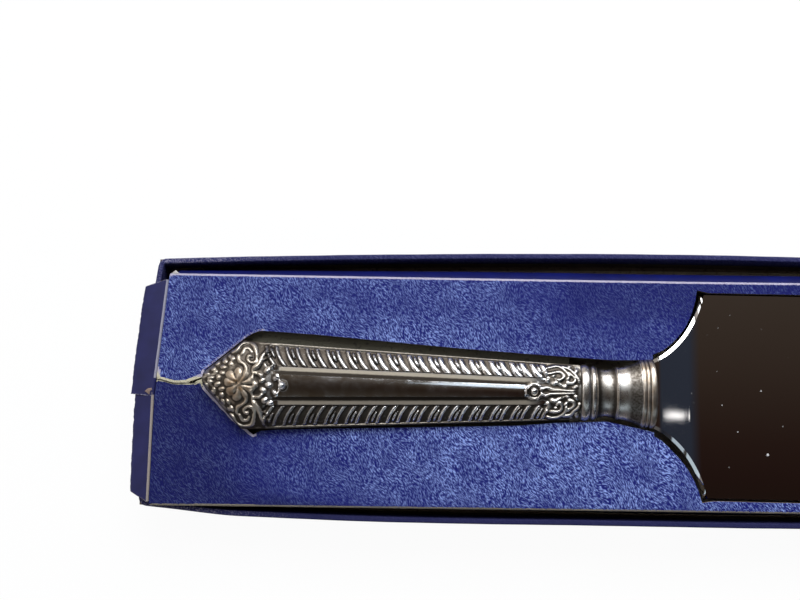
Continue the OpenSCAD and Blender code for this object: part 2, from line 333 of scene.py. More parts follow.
@dataclass(frozen=True)
class Leatherette(Finish):
    """Grained covering paper: fine slanting strands with a painted sheen on their crowns, painted shade, and
    bare fibre where it is worn.
    """

    deep: Colour
    # colour of the strands' crowns, lighter than the ground as a painted sheen
    crown: Colour
    fibre: Colour = (0.42, 0.39, 0.50)
    cream: Colour = (0.56, 0.52, 0.38)
    soiled: Colour = (0.25, 0.215, 0.17)
    strand_l: float = 0.80
    stretch: float = 3.7
    slant: float = 52.0
    depth: float = 0.10
    sheen: float = 0.10

    def paint(self, sheet: ShaderSheet) -> None:
        """Draws the fine slanting strands of the grain with a painted sheen on their crowns, the painted
        shade of the shade mark and the worn places.
        """
        plain = sheet.millimetres()
        wavy = sheet.pushed(sheet.millimetres((1.0, 1.0, 1.0), self.slant), 11.0, (0.0, 6.0, 0.0))
        drawn = sheet.add("Mapping")
        sheet.put(drawn, "Vector", wavy)
        sheet.put(drawn, "Scale", (1.0, self.stretch, 1.0))
        strand = sheet.noise(drawn.outputs["Vector"], self.strand_l, 1.0, 0.5)
        fine = sheet.noise(plain, 0.35, 2.0)
        # Painted sheen: the strands' crowns are painted lighter than the ground.
        crown = sheet.ramp(strand, (0.44, 0.0), (0.53, 0.36), (0.60, 0.74), (0.72, 1.35))
        # Painted sheen: the shade mark weakens the lighter crowns away from where the light falls; random
        # patches vary it.
        painted_sheen_strength = sheet.ramp(sheet.mark(Mark.SHADE), (0.0, 0.96), (0.5, 0.56), (0.85, 0.19), (1.0, 0.17))
        patches = sheet.ramp(sheet.noise(plain, 9.0, 3.0), (0.32, 0.62), (0.68, 1.38))
        light = sheet.sum("MULTIPLY", sheet.sum("MULTIPLY", crown, painted_sheen_strength), patches, clip=True)
        colour = sheet.blend(light, self.deep, self.crown)
        # Painted shade: the shade mark darkens the whole colour.
        shade = sheet.ramp(sheet.mark(Mark.SHADE), (0.0, 1.0), (0.8, 0.92), (1.0, 0.58))
        colour = sheet.blend(1.0, colour, shade, "MULTIPLY")
        rough_edge = sheet.ramp(fine, (0.30, 0.45), (0.62, 1.30))
        worn = sheet.sum("MULTIPLY", sheet.mark(Mark.WEAR), rough_edge, clip=True)
        worn = sheet.ramp(worn, (0.34, 0.0), (0.58, 1.0))
        fibre = sheet.ramp(sheet.mark(Mark.BLOOM), (0.0, self.fibre), (0.5, self.cream), (1.0, self.soiled))
        height = sheet.blend(0.15, crown, fine)
        sheet.shader(
            Base_Color=sheet.blend(worn, colour, fibre),
            Roughness=sheet.ramp(sheet.blend(0.5, crown, worn), (0.0, 0.62), (0.5, 0.42), (1.0, 0.85)),
            Specular_IOR_Level=self.sheen,
            Normal=sheet.bump(height, self.depth),
        )


@dataclass(frozen=True)
class SmoothPaper(Finish):
    """Ungrained coloured paper with faint fibres and worn edges."""

    tone: Colour
    fibre: Colour = (0.30, 0.29, 0.36)
    soiled: Colour = (0.30, 0.25, 0.20)

    def paint(self, sheet: ShaderSheet) -> None:
        """Draws the fibres, the mottled colour and the worn places."""
        place = sheet.millimetres()
        cloud = sheet.noise(place, 6.0, 3.0)
        fibre = sheet.noise(sheet.millimetres((1.0, 3.0, 1.0), 12), 0.5, 3.0, 0.6, 0.6)
        colour = sheet.blend(1.0, self.tone, sheet.ramp(cloud, (0.3, 0.72), (0.75, 1.15)), "MULTIPLY")
        rough_edge = sheet.ramp(fibre, (0.3, 0.4), (0.65, 1.3))
        worn = sheet.sum("MULTIPLY", sheet.mark(Mark.WEAR), rough_edge, clip=True)
        worn = sheet.ramp(worn, (0.38, 0.0), (0.62, 1.0))
        bare = sheet.blend(sheet.mark(Mark.BLOOM), self.fibre, self.soiled)
        sheet.shader(
            Base_Color=sheet.blend(worn, colour, bare),
            Roughness=sheet.ramp(fibre, (0.2, 0.42), (0.8, 0.58)),
            Specular_IOR_Level=0.30,
            Normal=sheet.bump(fibre, 0.02),
        )


@dataclass(frozen=True)
class RawBoard(Finish):
    """Uncoated board or paper with flecks and a felted surface."""

    tone: Colour
    fleck: Colour
    felt: float = 0.05

    def paint(self, sheet: ShaderSheet) -> None:
        """Draws the felted fibres and the darker flecks."""
        place = sheet.millimetres()
        fibre = sheet.noise(sheet.millimetres((1.0, 2.4, 1.0), 25), 0.7, 4.0, 0.65, 0.8)
        speck = sheet.ramp(sheet.noise(place, 0.9, 2.0), (0.60, 0.0), (0.68, 1.0))
        cloud = sheet.ramp(sheet.noise(place, 9.0, 2.0), (0.3, 0.82), (0.7, 1.08))
        colour = sheet.blend(1.0, sheet.blend(speck, self.tone, self.fleck), cloud, "MULTIPLY")
        sheet.shader(
            Base_Color=colour,
            Roughness=sheet.ramp(fibre, (0.2, 0.72), (0.8, 0.92)),
            Specular_IOR_Level=0.25,
            Normal=sheet.bump(fibre, self.felt),
        )


@dataclass(frozen=True)
class SilverPlate(Finish):
    """Old polished plate, bright on its high places and tarnished in its hollows."""

    bright: Colour = (0.74, 0.735, 0.74)
    tarnish: Colour = (0.060, 0.050, 0.041)
    warm: Colour = (0.58, 0.49, 0.37)
    matt: Colour = (0.47, 0.41, 0.325)
    copper: Colour = (0.20, 0.112, 0.046)

    def paint(self, sheet: ShaderSheet) -> None:
        """Draws the tarnish in the hollows with the painted shade that the hollow mark carries, matt and
        worn-through warm places and hairline scratches.
        """
        place = sheet.millimetres()
        haze = sheet.ramp(sheet.noise(place, 6.0, 3.0), (0.46, 0.0), (0.80, 0.6))
        metal = sheet.blend(haze, self.bright, self.warm)
        patchy = sheet.ramp(sheet.noise(place, 1.6, 2.0), (0.30, 0.35), (0.65, 1.0))
        dull = sheet.mark(Mark.SHADE)
        metal = sheet.blend(dull, metal, self.matt)
        bare = sheet.sum("MULTIPLY", sheet.mark(Mark.BLOOM), patchy, clip=True)
        metal = sheet.blend(bare, metal, self.copper)
        grime = sheet.ramp(sheet.noise(place, 0.6, 2.0), (0.3, 0.0), (0.8, 0.16))
        # Tarnish in the hollows, and painted shade where the hollow mark carries it.
        tarnish_and_shade = sheet.ramp(sheet.sum("ADD", sheet.mark(Mark.HOLLOW), grime), (0.22, 0.0), (0.66, 1.0))
        scratch = sheet.noise(sheet.millimetres((0.05, 2.2, 2.2), 4), 0.12, 2.0)
        shine = sheet.ramp(sheet.noise(place, 2.2, 3.0), (0.35, 0.08), (0.8, 0.17))
        shine = sheet.blend(dull, shine, (0.46, 0.46, 0.46))
        sheet.shader(
            Base_Color=sheet.blend(tarnish_and_shade, metal, self.tarnish),
            Metallic=1.0,
            Roughness=sheet.blend(tarnish_and_shade, shine, (0.42, 0.42, 0.42)),
            Normal=sheet.bump(scratch, 0.0012),
        )


@dataclass(frozen=True)
class PolishedSteel(Finish):
    """Mirror-polished steel with hairlines along the blade and settled dust."""

    tone: Colour = (0.62, 0.61, 0.60)
    dust: Colour = (0.78, 0.78, 0.80)

    def paint(self, sheet: ShaderSheet) -> None:
        """Draws the hairlines, faint smears and specks of dust."""
        place = sheet.millimetres()
        hair = sheet.noise(sheet.millimetres((0.02, 1.6, 1.0), 1), 0.09, 2.0)
        smear = sheet.noise(sheet.millimetres((1.0, 0.6, 1.0), 30), 11.0, 3.0)
        spots, size = sheet.cells(place, 3.4)
        some = sheet.ramp(sheet.noise(place, 7.0, 2.0), (0.50, 0.0), (0.64, 1.0))
        grain = sheet.sum("SUBTRACT", spots, sheet.ramp(size, (0.80, 0.0), (1.0, 0.075)))
        dust = sheet.sum("MULTIPLY", sheet.ramp(grain, (0.040, 1.0), (0.075, 0.0)), some)
        sheet.shader(
            Base_Color=sheet.blend(dust, self.tone, self.dust),
            Metallic=sheet.ramp(dust, (0.0, 1.0), (1.0, 0.0)),
            Roughness=sheet.blend(dust, sheet.ramp(smear, (0.35, 0.02), (0.75, 0.05)), (0.8, 0.8, 0.8)),
            Normal=sheet.bump(hair, 0.0006),
        )


@dataclass(frozen=True)
class StageFloor(Finish):
    """Pale floor that shows as white to the camera and to reflections and keeps the shadow."""

    white_share: float = 0.955

    def paint(self, sheet: ShaderSheet) -> None:
        """Draws a matt pale surface and mixes in plain white for rays that look at it."""
        cloud = sheet.ramp(sheet.noise(sheet.millimetres(), 60.0, 2.0), (0.3, 0.93), (0.7, 0.95))
        sheet.shader(Base_Color=cloud, Roughness=0.9, Specular_IOR_Level=0.1)
        path = sheet.add("LightPath")
        seen = sheet.sum("ADD", path.outputs["Is Camera Ray"], path.outputs["Is Glossy Ray"])
        seen = sheet.sum("ADD", seen, path.outputs["Is Transmission Ray"], clip=True)
        share = sheet.sum("MULTIPLY", seen, self.white_share)
        glow = sheet.add("Emission")
        sheet.put(glow, "Color", (1, 1, 1, 1))
        sheet.put(glow, "Strength", 1.0)
        mix = sheet.add("MixShader")
        sheet.put(mix, 0, share)
        sheet.put(mix, 1, sheet.surface.outputs["BSDF"])
        sheet.put(mix, 2, glow.outputs["Emission"])
        sheet.put(sheet.output, "Surface", mix.outputs["Shader"])


# Both leatherettes paint their strands' crowns lighter as a painted sheen.
FACING = Leatherette("insert leatherette", deep=(0.010, 0.0125, 0.145), crown=(0.285, 0.385, 0.80))
WRAP = Leatherette(
    "tray leatherette", deep=(0.024, 0.025, 0.092), crown=(0.075, 0.078, 0.180), depth=0.03, sheen=0.06,
)
FLAP = SmoothPaper("flap paper", tone=(0.014, 0.015, 0.082))
# A darker copy of the flap paper for the legs, as painted shade.
SHADED_LEG_PAPER = SmoothPaper("leg paper in painted shade", tone=(0.001, 0.004, 0.085))
CARD = RawBoard("raw card", tone=(0.16, 0.12, 0.085), fleck=(0.10, 0.075, 0.05))
PAD = RawBoard("pad board", tone=(0.085, 0.080, 0.060), fleck=(0.050, 0.047, 0.037))
CARD_WHITE = RawBoard("pale card", tone=(0.50, 0.48, 0.46), fleck=(0.36, 0.34, 0.32))
CARD_BROWN = RawBoard("brown card", tone=(0.24, 0.17, 0.14), fleck=(0.15, 0.10, 0.08))
LINING = RawBoard("lining paper", tone=(0.42, 0.36, 0.27), fleck=(0.30, 0.24, 0.17))
TAPE = RawBoard("stay tape", tone=(0.46, 0.36, 0.22), fleck=(0.36, 0.27, 0.16), felt=0.03)
CEMENT = RawBoard("handle cement", tone=(0.20, 0.10, 0.05), fleck=(0.10, 0.05, 0.03), felt=0.12)
SILVER = SilverPlate("silver plate")
STEEL = PolishedSteel("polished steel")
FLOOR = StageFloor("pale floor")


# Mesh drafting


@dataclass
class Draft:
    """Points and faces of one piece before it becomes an object, in millimetres."""

    points: Array
    faces: list[Sequence[int]]
    marks: dict[Mark, Array] = field(default_factory=dict)

    def moved(self, place: Matrix) -> "Draft":
        """The same draft with its points placed by a matrix in millimetres."""
        turn = np.array(place.to_3x3())
        shift = np.array(place.translation)
        return Draft(self.points @ turn.T + shift, self.faces, self.marks)

    def piece(self, name: str, finish: Finish, crease: float = 40.0) -> bpy.types.Object:
        """Makes the object.

        Args:
            name: Name of the piece.
            finish: Its finish.
            crease: Edges that turn by more than this many degrees stay sharp.

        Returns:
            The new object, linked to the scene.
        """
        mesh = bpy.data.meshes.new(name)
        mesh.from_pydata((self.points * MM).tolist(), [], [tuple(map(int, f)) for f in self.faces])
        mesh.validate()
        turned = bmesh.new()
        turned.from_mesh(mesh)
        bmesh.ops.recalc_face_normals(turned, faces=turned.faces)
        turned.to_mesh(mesh)
        turned.free()
        mesh.shade_smooth()
        mesh.set_sharp_from_angle(angle=math.radians(crease))
        for mark, values in self.marks.items():
            layer = mesh.attributes.new(mark.value, "FLOAT", "POINT")
            layer.data.foreach_set("value", np.asarray(values, np.float32))
        mesh.materials.append(finish.material())
        piece = bpy.data.objects.new(name, mesh)
        bpy.context.scene.collection.objects.link(piece)
        return piece


def settle(piece: bpy.types.Object, body: Body, slot: Slot, *nodes: str) -> None:
    """Seats a finished piece in the frame.

    Args:
        piece: The piece, already in place.
        body: The body that it rides on.
        slot: Not used.
        nodes: The nodes that it stands for.
    """
    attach(piece, body.value)
    if nodes:
        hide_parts(*nodes)
    LOG.info("%s: %d faces, rides on %s", piece.name, len(piece.data.polygons), body.value)


def dress(node: str, finish: Finish) -> None:
    """Gives a node of the frame a finish and leaves its shape as it is."""
    mesh = frame["nodes"][node].data
    mesh.materials.clear()
    mesh.materials.append(finish.material())
    LOG.info("%s: keeps its shape, finished in %s", node, finish.name)


def node_points(node: str) -> Array:
    """Points of a node of the frame, in millimetres."""
    return np.array([v.co for v in frame["nodes"][node].data.vertices]) / MM


def reshaped(node: str, finish: Finish, body: Body, slot: Slot, move: Callable[[Array], Array]) -> None:
    """Seats a copy of a node with its points moved.

    Args:
        node: The node that the copy stands for.
        finish: Finish of the copy.
        body: The body that it rides on.
        slot: Handed on to settle, which does not use it.
        move: Gives the new places of points in millimetres.
    """
    faces = [tuple(p.vertices) for p in frame["nodes"][node].data.polygons]
    draft = Draft(move(node_points(node)), faces)
    settle(draft.piece(node + "_worn", finish), body, slot, node)


def grid_faces(rows: int, cols: int, start: int = 0) -> list[Sequence[int]]:
    """Quads of a grid whose points run along the columns first.

    Args:
        rows: Number of rows of points.
        cols: Number of points in a row.
        start: Number of the first point.

    Returns:
        The faces, facing up where rows run along x and columns along y.
    """
    a = start + np.arange(rows - 1)[:, None] * cols + np.arange(cols - 1)[None, :]
    return np.stack([a, a + cols, a + cols + 1, a + 1], -1).reshape(-1, 4).tolist()


def rim_of_grid(rows: int, cols: int, start: int = 0) -> list[int]:
    """Numbers of the points round a grid, in the turning sense of its faces.

    Args:
        rows: Number of rows of points.
        cols: Number of points in a row.
        start: Number of the first point.

    Returns:
        The numbers, once round.
    """
    last = (rows - 1) * cols
    bottom = [i * cols for i in range(rows)]
    right = [last + j for j in range(1, cols)]
    top = [i * cols + cols - 1 for i in range(rows - 2, -1, -1)]
    left = [j for j in range(cols - 2, 0, -1)]
    return [start + n for n in bottom + right + top + left]


def band(lower: Sequence[int], upper: Sequence[int]) -> list[Sequence[int]]:
    """Quads between two closed loops with the same number of points."""
    return list(zip(lower, [*lower[1:], lower[0]], [*upper[1:], upper[0]], upper))


def loft(stations: Array, ring: bool = False) -> Draft:
    """Skins closed sections.

    Args:
        stations: Points as [station, point of the section, axis].
        ring: Joins the last station to the first instead of capping both.

    Returns:
        A closed draft.
    """
    count, size = stations.shape[:2]
    faces: list[Sequence[int]] = []
    for i in range(count if ring else count - 1):
        a, b = i * size, ((i + 1) % count) * size
        faces += band(range(a, a + size), range(b, b + size))
    if not ring:
        faces.append(tuple(range(size - 1, -1, -1)))
        faces.append(tuple((count - 1) * size + k for k in range(size)))
    return Draft(stations.reshape(-1, 3), faces)


def stitch(outer: Sequence[int], inner: Sequence[int], points: Array) -> list[Sequence[int]]:
    """Joins two closed loops of points with triangles.

    Args:
        outer: Numbers of the first loop's points.
        inner: Numbers of the second loop's points, turning the same way from a near start.
        points: All points.

    Returns:
        The triangles.
    """
    faces: list[Sequence[int]] = []
    i = j = 0
    while i < len(outer) or j < len(inner):
        a, b = outer[i % len(outer)], inner[j % len(inner)]
        next_a, next_b = outer[(i + 1) % len(outer)], inner[(j + 1) % len(inner)]
        step_a = np.linalg.norm(points[next_a] - points[b]) if i < len(outer) else math.inf
        step_b = np.linalg.norm(points[next_b] - points[a]) if j < len(inner) else math.inf
        if step_a <= step_b:
            faces.append((a, next_a, b))
            i += 1
        else:
            faces.append((a, next_b, b))
            j += 1
    return faces


def smooth_step(low: float | Array, high: float | Array, value: Array) -> Array:
    """Rises smoothly from 0 at low to 1 at high."""
    t = np.clip((value - low) / (high - low), 0.0, 1.0)
    return t * t * (3.0 - 2.0 * t)


def curve_through(points: Sequence[Point], steps: int = 8) -> list[Point]:
    """A smooth line through points.

    Args:
        points: Points to pass.
        steps: Steps between two points.

    Returns:
        Points along the line.
    """
    p = np.array([points[0], *points, points[-1]], float)
    out: list[Point] = []
    for k in range(1, len(p) - 2):
        for i in range(steps):
            t = i / steps
            a = 2 * p[k] + (p[k + 1] - p[k - 1]) * t
            b = (2 * p[k - 1] - 5 * p[k] + 4 * p[k + 1] - p[k + 2]) * t**2
            c = (3 * p[k] - p[k - 1] - 3 * p[k + 1] + p[k + 2]) * t**3
            out.append(tuple(0.5 * (a + b + c)))
    out.append(tuple(p[-1]))
    return out


def circle(centre: Point, radius: float, steps: int = 30) -> list[Point]:
    """Points once round a centre, the first one given again at the end."""
    turns = [math.radians(360 * i / steps) for i in range(steps + 1)]
    return [(centre[0] + radius * math.cos(a), centre[1] + radius * math.sin(a)) for a in turns]


# Raised ornament of the handle


@dataclass(frozen=True)
class Bead:
    """A round or oval boss."""

    x: float
    y: float
    rx: float
    ry: float
    rise: float
    turn: float = 0.0

    def height(self, x: Array, y: Array) -> Array:
        """Height of the boss over each place."""
        c, s = math.cos(math.radians(self.turn)), math.sin(math.radians(self.turn))
        u = ((x - self.x) * c + (y - self.y) * s) / self.rx
        v = ((y - self.y) * c - (x - self.x) * s) / self.ry
        return self.rise * np.sqrt(np.clip(1.0 - u * u - v * v, 0.0, None))


@dataclass(frozen=True)
class Strand:
    """A raised line that tapers from one end to the other."""

    path: Sequence[Point]
    start_w: float
    end_w: float
    rise: float

    def height(self, x: Array, y: Array) -> Array:
        """Height of the strand over each place."""
        best = np.zeros_like(x)
        last = len(self.path) - 1
        for k in range(last):
            (ax, ay), (bx, by) = self.path[k], self.path[k + 1]
            dx, dy = bx - ax, by - ay
            t = np.clip(((x - ax) * dx + (y - ay) * dy) / (dx * dx + dy * dy + 1e-9), 0.0, 1.0)
            gap = np.hypot(x - ax - t * dx, y - ay - t * dy)
            share = (k + t) / last
            half = self.start_w + (self.end_w - self.start_w) * share
            best = np.maximum(best, self.rise * np.sqrt(np.clip(1.0 - (gap / half) ** 2, 0.0, None)))
        return best


@dataclass(frozen=True)
class Fan:
    """A shell of ribs that spread from one point."""

    x: float
    y: float
    start: float
    end: float
    ribs: int
    inner: float
    outer: float
    rise: float

    def height(self, x: Array, y: Array) -> Array:
        """Height of the shell over each place."""
        r = np.hypot(x - self.x, y - self.y)
        a = np.degrees(np.arctan2(y - self.y, x - self.x)) % 360.0
        t = ((a - self.start) % 360.0) / (self.end - self.start)
        lobe = np.abs(np.sin(np.pi * np.clip(t, 0, 1) * self.ribs))
        edge = self.outer * (0.82 + 0.18 * np.sqrt(lobe))
        run = np.clip((r - self.inner) / (edge - self.inner), 0.0, 1.0)
        swell = np.sqrt(np.clip(1.0 - (1.6 * run - 0.6) ** 2, 0.0, None))
        inside = (t <= 1.0) & (r >= self.inner) & (r <= edge)
        return np.where(inside, self.rise * swell * (0.28 + 0.72 * np.sqrt(lobe)), 0.0)


@dataclass
class ServerFrame:
    """Axes in which the server is drawn: x from its point to its tip, y across, z up from the seam."""

    roll: float = 1.0
    yaw: float = 0.45
    point_skew: float = 1.5
    skew_l: float = 13.0

    def __post_init__(self) -> None:
        """Finds the server's origin from the shell that lies on the seam."""
        rolled = Matrix.Rotation(math.radians(self.roll), 3, "X")
        turn = Matrix.Rotation(math.radians(-self.yaw), 3, "Z") @ rolled
        self.turn = np.array(turn)
        low, high = self.local_box("handle_top_shell")
        origin = Vector(turn @ Vector((low[0], (low[1] + high[1]) / 2, low[2])))
        self.place = Matrix.Translation(origin) @ turn.to_4x4()

    def local_box(self, node: str) -> tuple[Array, Array]:
        """Lowest and highest corner of a node along the server's axes, in millimetres."""
        points = node_points(node) @ self.turn
        return points.min(0), points.max(0)

    def span(self, node: str) -> tuple[float, float]:
        """Where a node begins and ends along the server, in millimetres from its point."""
        start = self.local_box("handle_top_shell")[0][0]
        low, high = self.local_box(node)
        return low[0] - start, high[0] - start

    def to_local(self, points: Array) -> Array:
        """Places given in millimetres in the frame, along the server's axes."""
        return (points - np.array(self.place.translation)) @ self.turn

    def skew(self, x: Array) -> Array:
        """How far the handle's point, which was stamped off centre, lies to the far side at x."""
        return self.point_skew * np.clip(1.0 - x / self.skew_l, 0.0, 1.0) ** 1.2


@dataclass
class HandleShells:
    """The two stamped halves of the handle with their ornament."""

    lie: ServerFrame
    root_half: float = 12.356
    neck_half: float = 7.25
    thickness_share: float = 14.5 / 23.6
    point_l: float = 11.0
    point_half: float = 1.8
    point_h: float = 3.6
    wall: float = 0.8
    rib_edge: float = 0.268
    rib_slim: float = 0.00105
    rib_bow: float = 0.35
    valley_edge: float = 0.455
    lane_edge: float = 0.945
    gadroon_pitch: float = 5.5
    gadroon_lean: float = 3.1
    lane_start: float = 16.6
    rib_start: float = 20.6
    rib_stop: float = 86.4
    lane_stop: float = 92.0
    step_x: float = 0.25
    crown_share: float = 0.83
    edge_share: float = 0.36
    edge_h: float = 2.6
    flat_share: float = 0.79
    flat_fall: float = 0.020
    lane_share: float = 0.73
    lane_fall: float = 0.28
    lane_belly: float = 0.06
    lane_sink: float = 0.34
    rim_share: float = 0.40
    rim_fall: float = 0.3
    rim_bead: float = 0.16
    rib_round: float = 0.042
    ridge_h: float = 0.60
    ridge_half: float = 0.50
    ridge_foot: float = 0.45
    eye_h: float = 0.62
    eye_half: Point = (0.42, 1.45)
    eye_across: float = 0.62
    groove_d: float = 0.12
    far_swell: tuple[Point, ...] = ((20.0, 0.75), (50.0, 1.0), (88.0, 1.40))
    near_swell: float = 0.78
    matt_flat: float = 0.95
    matt_rim: float = 0.85
    matt_point: float = 0.82
    matt_neck: float = 0.50
    lane_dirt: float = 0.62
    lane_shade_film: float = 0.42
    rim_dirt_and_shade: Point = (0.36, 0.50)
    copper_spot: Point = (9.4, -0.6)
    copper_reach: Point = (4.6, 5.4)

    def __post_init__(self) -> None:
        """Takes the handle's length from the frame."""
        self.length = self.lie.span("handle_top_shell")[1]

    def taper(self, x: Array) -> Array:
        """Half width of the tapered section at x, without the pointed end."""
        return self.root_half + (self.neck_half - self.root_half) * x / self.length

    def half_width(self, x: Array) -> Array:
        """Half width of the handle's outline at x."""
        point = self.point_half + (self.root_half - self.point_half) * x / self.point_l
        body = self.taper(x)
        soft = 0.5
        mix = np.clip(0.5 + 0.5 * (body - point) / soft, 0.0, 1.0)
        return body + (point - body) * mix - soft * mix * (1.0 - mix) * 0.5

    def terminal_ornament(self) -> list[Bead | Strand | Fan]:
        """Shell, scrolls, leaves and pearls of the pointed end, for one side of the axis."""
        pearls = [
            Bead(1.3, 1.5, 0.5, 0.45, 0.5), Bead(2.9, 3.0, 0.62, 0.55, 0.6), Bead(4.0, 4.5, 0.45, 0.5, 0.45),
            Bead(5.7, 5.5, 0.62, 0.7, 0.6, 30), Bead(7.3, 7.1, 0.5, 0.5, 0.5), Bead(8.0, 8.6, 0.62, 0.6, 0.7),
        ]
        clusters = [
            Bead(2.5, 0.5, 0.75, 0.55, 0.65, 20), Bead(4.4, 0.9, 0.62, 0.7, 0.7),
            Bead(3.6, 2.3, 0.5, 0.55, 0.5), Bead(5.7, 2.1, 0.65, 0.55, 0.7), Bead(5.8, 3.7, 0.7, 0.62, 0.75),
            Bead(7.4, 5.2, 0.55, 0.7, 0.6, -20), Bead(8.2, 6.7, 0.72, 0.75, 0.8),
            Bead(13.7, 1.8, 0.62, 0.7, 0.8), Bead(14.3, 0.3, 0.8, 0.55, 0.8),
            Bead(16.4, 1.2, 0.85, 0.42, 0.7, 20), Bead(17.3, 3.8, 0.78, 0.6, 0.85),
            Bead(18.7, 4.8, 0.66, 0.6, 0.8), Bead(19.8, 1.95, 0.8, 0.9, 1.0),
            Bead(18.2, 0.0, 0.75, 0.5, 0.7), Bead(21.7, 0.0, 1.15, 1.1, 1.3),
        ]
        scrolls = [
            Strand(curve_through([
                (8.5, 8.9), (9.6, 10.4), (11.5, 11.3), (13.2, 10.8), (14.4, 9.1), (14.6, 7.4),
                (13.9, 6.2), (12.8, 5.9), (12.0, 6.6), (12.2, 7.5), (12.9, 7.6),
            ], 5), 0.58, 0.36, 0.85),
            Strand(curve_through([(10.3, 8.0), (11.2, 9.4), (12.4, 9.5), (13.2, 8.7)]), 0.40, 0.30, 0.55),
            Strand(curve_through([(14.3, 4.9), (15.5, 6.5), (16.6, 8.6), (17.9, 11.0)]), 0.85, 0.42, 1.0),
            Strand(curve_through([(15.7, 6.9), (17.0, 7.0), (18.1, 7.8)]), 0.42, 0.25, 0.65),
            Strand(curve_through([(16.6, 8.8), (17.6, 8.9), (18.6, 9.6)]), 0.38, 0.22, 0.55),
            Strand(curve_through([(14.6, 3.4), (15.9, 3.0), (16.4, 2.2)]), 0.45, 0.3, 0.7),
            Strand(curve_through([
                (11.6, 2.3), (12.3, 3.6), (11.7, 5.0), (10.3, 6.0), (9.4, 7.5),
            ]), 0.62, 0.26, 0.75),
            Strand(curve_through([(12.6, 1.3), (14.0, 2.6), (13.7, 4.2)]), 0.45, 0.25, 0.6),
        ]
        shell = [Fan(10.4, 0.0, 0, 360, 9, 0.5, 4.4, 0.70), Bead(10.5, 0.0, 0.6, 0.6, 0.7)]
        return [*pearls, *clusters, *scrolls, *shell]

    def neck_ornament(self) -> list[Bead | Strand | Fan]:
        """Rosette and leaf shells beside the bolster, for one side of the axis."""
        rosette = [Bead(88.4, 0.0, 1.15, 1.15, 0.95), Strand(circle((88.4, 0.0), 2.0), 0.42, 0.42, 0.6)]
        leaves = [
            Strand(curve_through([(92.3, 6.6), (94.6, 6.7), (96.6, 5.6), (97.4, 4.4)]), 0.36, 0.46, 0.70),
            Strand(curve_through([
                (92.9, 5.0), (95.0, 5.1), (96.2, 4.0), (95.6, 2.9), (94.6, 3.3),
            ]), 0.42, 0.34, 0.80),
            Strand(curve_through([(96.2, 6.6), (98.4, 6.1), (99.8, 4.4), (100.1, 2.9)]), 0.40, 0.36, 0.70),
            Strand(curve_through([(97.6, 5.2), (98.9, 4.0), (98.7, 2.7), (97.5, 2.4)]), 0.34, 0.40, 0.75),
            Strand(curve_through([(93.4, 2.2), (94.7, 2.3), (95.9, 1.4)]), 0.42, 0.25, 0.65),
            Strand(curve_through([
                (90.4, 0.6), (91.8, 1.1), (93.0, 0.6), (96.3, 0.4), (99.4, 0.3),
            ]), 0.5, 0.3, 0.75),
            Bead(91.9, 3.3, 0.5, 0.75, 0.6, -30), Bead(92.0, 5.2, 0.42, 0.6, 0.5, 15),
            Bead(99.5, 1.3, 0.5, 0.6, 0.6), Bead(96.9, 1.3, 0.7, 0.45, 0.65, 25),
            Bead(97.2, 3.5, 0.45, 0.55, 0.65), Bead(100.2, 5.8, 0.5, 0.7, 0.6),
            Bead(98.4, 7.0, 0.6, 0.4, 0.5), Bead(94.0, 4.2, 0.4, 0.4, 0.6),
        ]
        return [*rosette, *leaves]

    def swell(self, x: Array, y: Array) -> Array:
        """Width of the ridges against the usual: slim by the point and on the near side, full by the neck."""
        return np.where(y > 0, np.interp(x, *np.array(self.far_swell).T), self.near_swell)

    def gadroons(self, x: Array, across: Array, lane_w: Array, swell: Array) -> Array:
        """Slanting ridges of a lane with an oval eye in every second space.

        Args:
            x: Places along the handle.
            across: Places across the lane, from 0 at the flat to 1 at the rim.
            lane_w: Width of the lane at each place.
            swell: Width of the ridges against the usual.

        Returns:
            Height over the floor of the lane.
        """
        half = self.gadroon_pitch / 2
        lean = self.gadroon_lean * lane_w / 6.0 * np.clip(1.0 - across, 0, 1) ** 1.6
        run = (x - self.lane_start - lean) / half
        cell = np.floor(run)
        phase = run - cell
        gap = np.minimum(phase, 1.0 - phase) * half
        ridge_w = (self.ridge_half + self.ridge_foot * np.clip(1.0 - across, 0, 1) ** 1.2) * swell
        ridge = self.ridge_h * np.sqrt(np.clip(1.0 - (gap / ridge_w) ** 2, 0.0, None))
        eye_u = (phase - 0.50) * half / self.eye_half[0]
        eye_v = (across - self.eye_across) * lane_w / self.eye_half[1]
        eye = self.eye_h * np.sqrt(np.clip(1.0 - eye_u**2 - eye_v**2, 0.0, None))
        raised = np.maximum(ridge, np.where(np.mod(cell, 2) == 0, eye, 0.0))
        groove = -self.groove_d * np.sin(np.pi * phase)
        fade = smooth_step(0.0, 0.07, across) * (1.0 - smooth_step(0.93, 1.0, across))
        return np.where(raised > 0.0, raised, groove) * fade

    def rib_share(self, x: Array) -> Array:
        """Half width of the middle rib at x as a share of the handle's."""
        return self.rib_edge - self.rib_slim * np.clip(x - self.rib_start, 0.0, None)

    def spread(self, t: Array, x: Array) -> Array:
        """Moves grid lines across the handle so that they follow the narrowing rib.

        Args:
            t: Shares of the half width with the rib at its widest.
            x: Places along the handle.

        Returns:
            The new shares.
        """
        size, rib, valley = np.abs(t), self.rib_share(x), self.valley_edge
        on_rib = size * rib / self.rib_edge
        on_flat = rib + (size - self.rib_edge) * (valley - rib) / (valley - self.rib_edge)
        return np.sign(t) * np.where(size < self.rib_edge, on_rib, np.where(size < valley, on_flat, size))

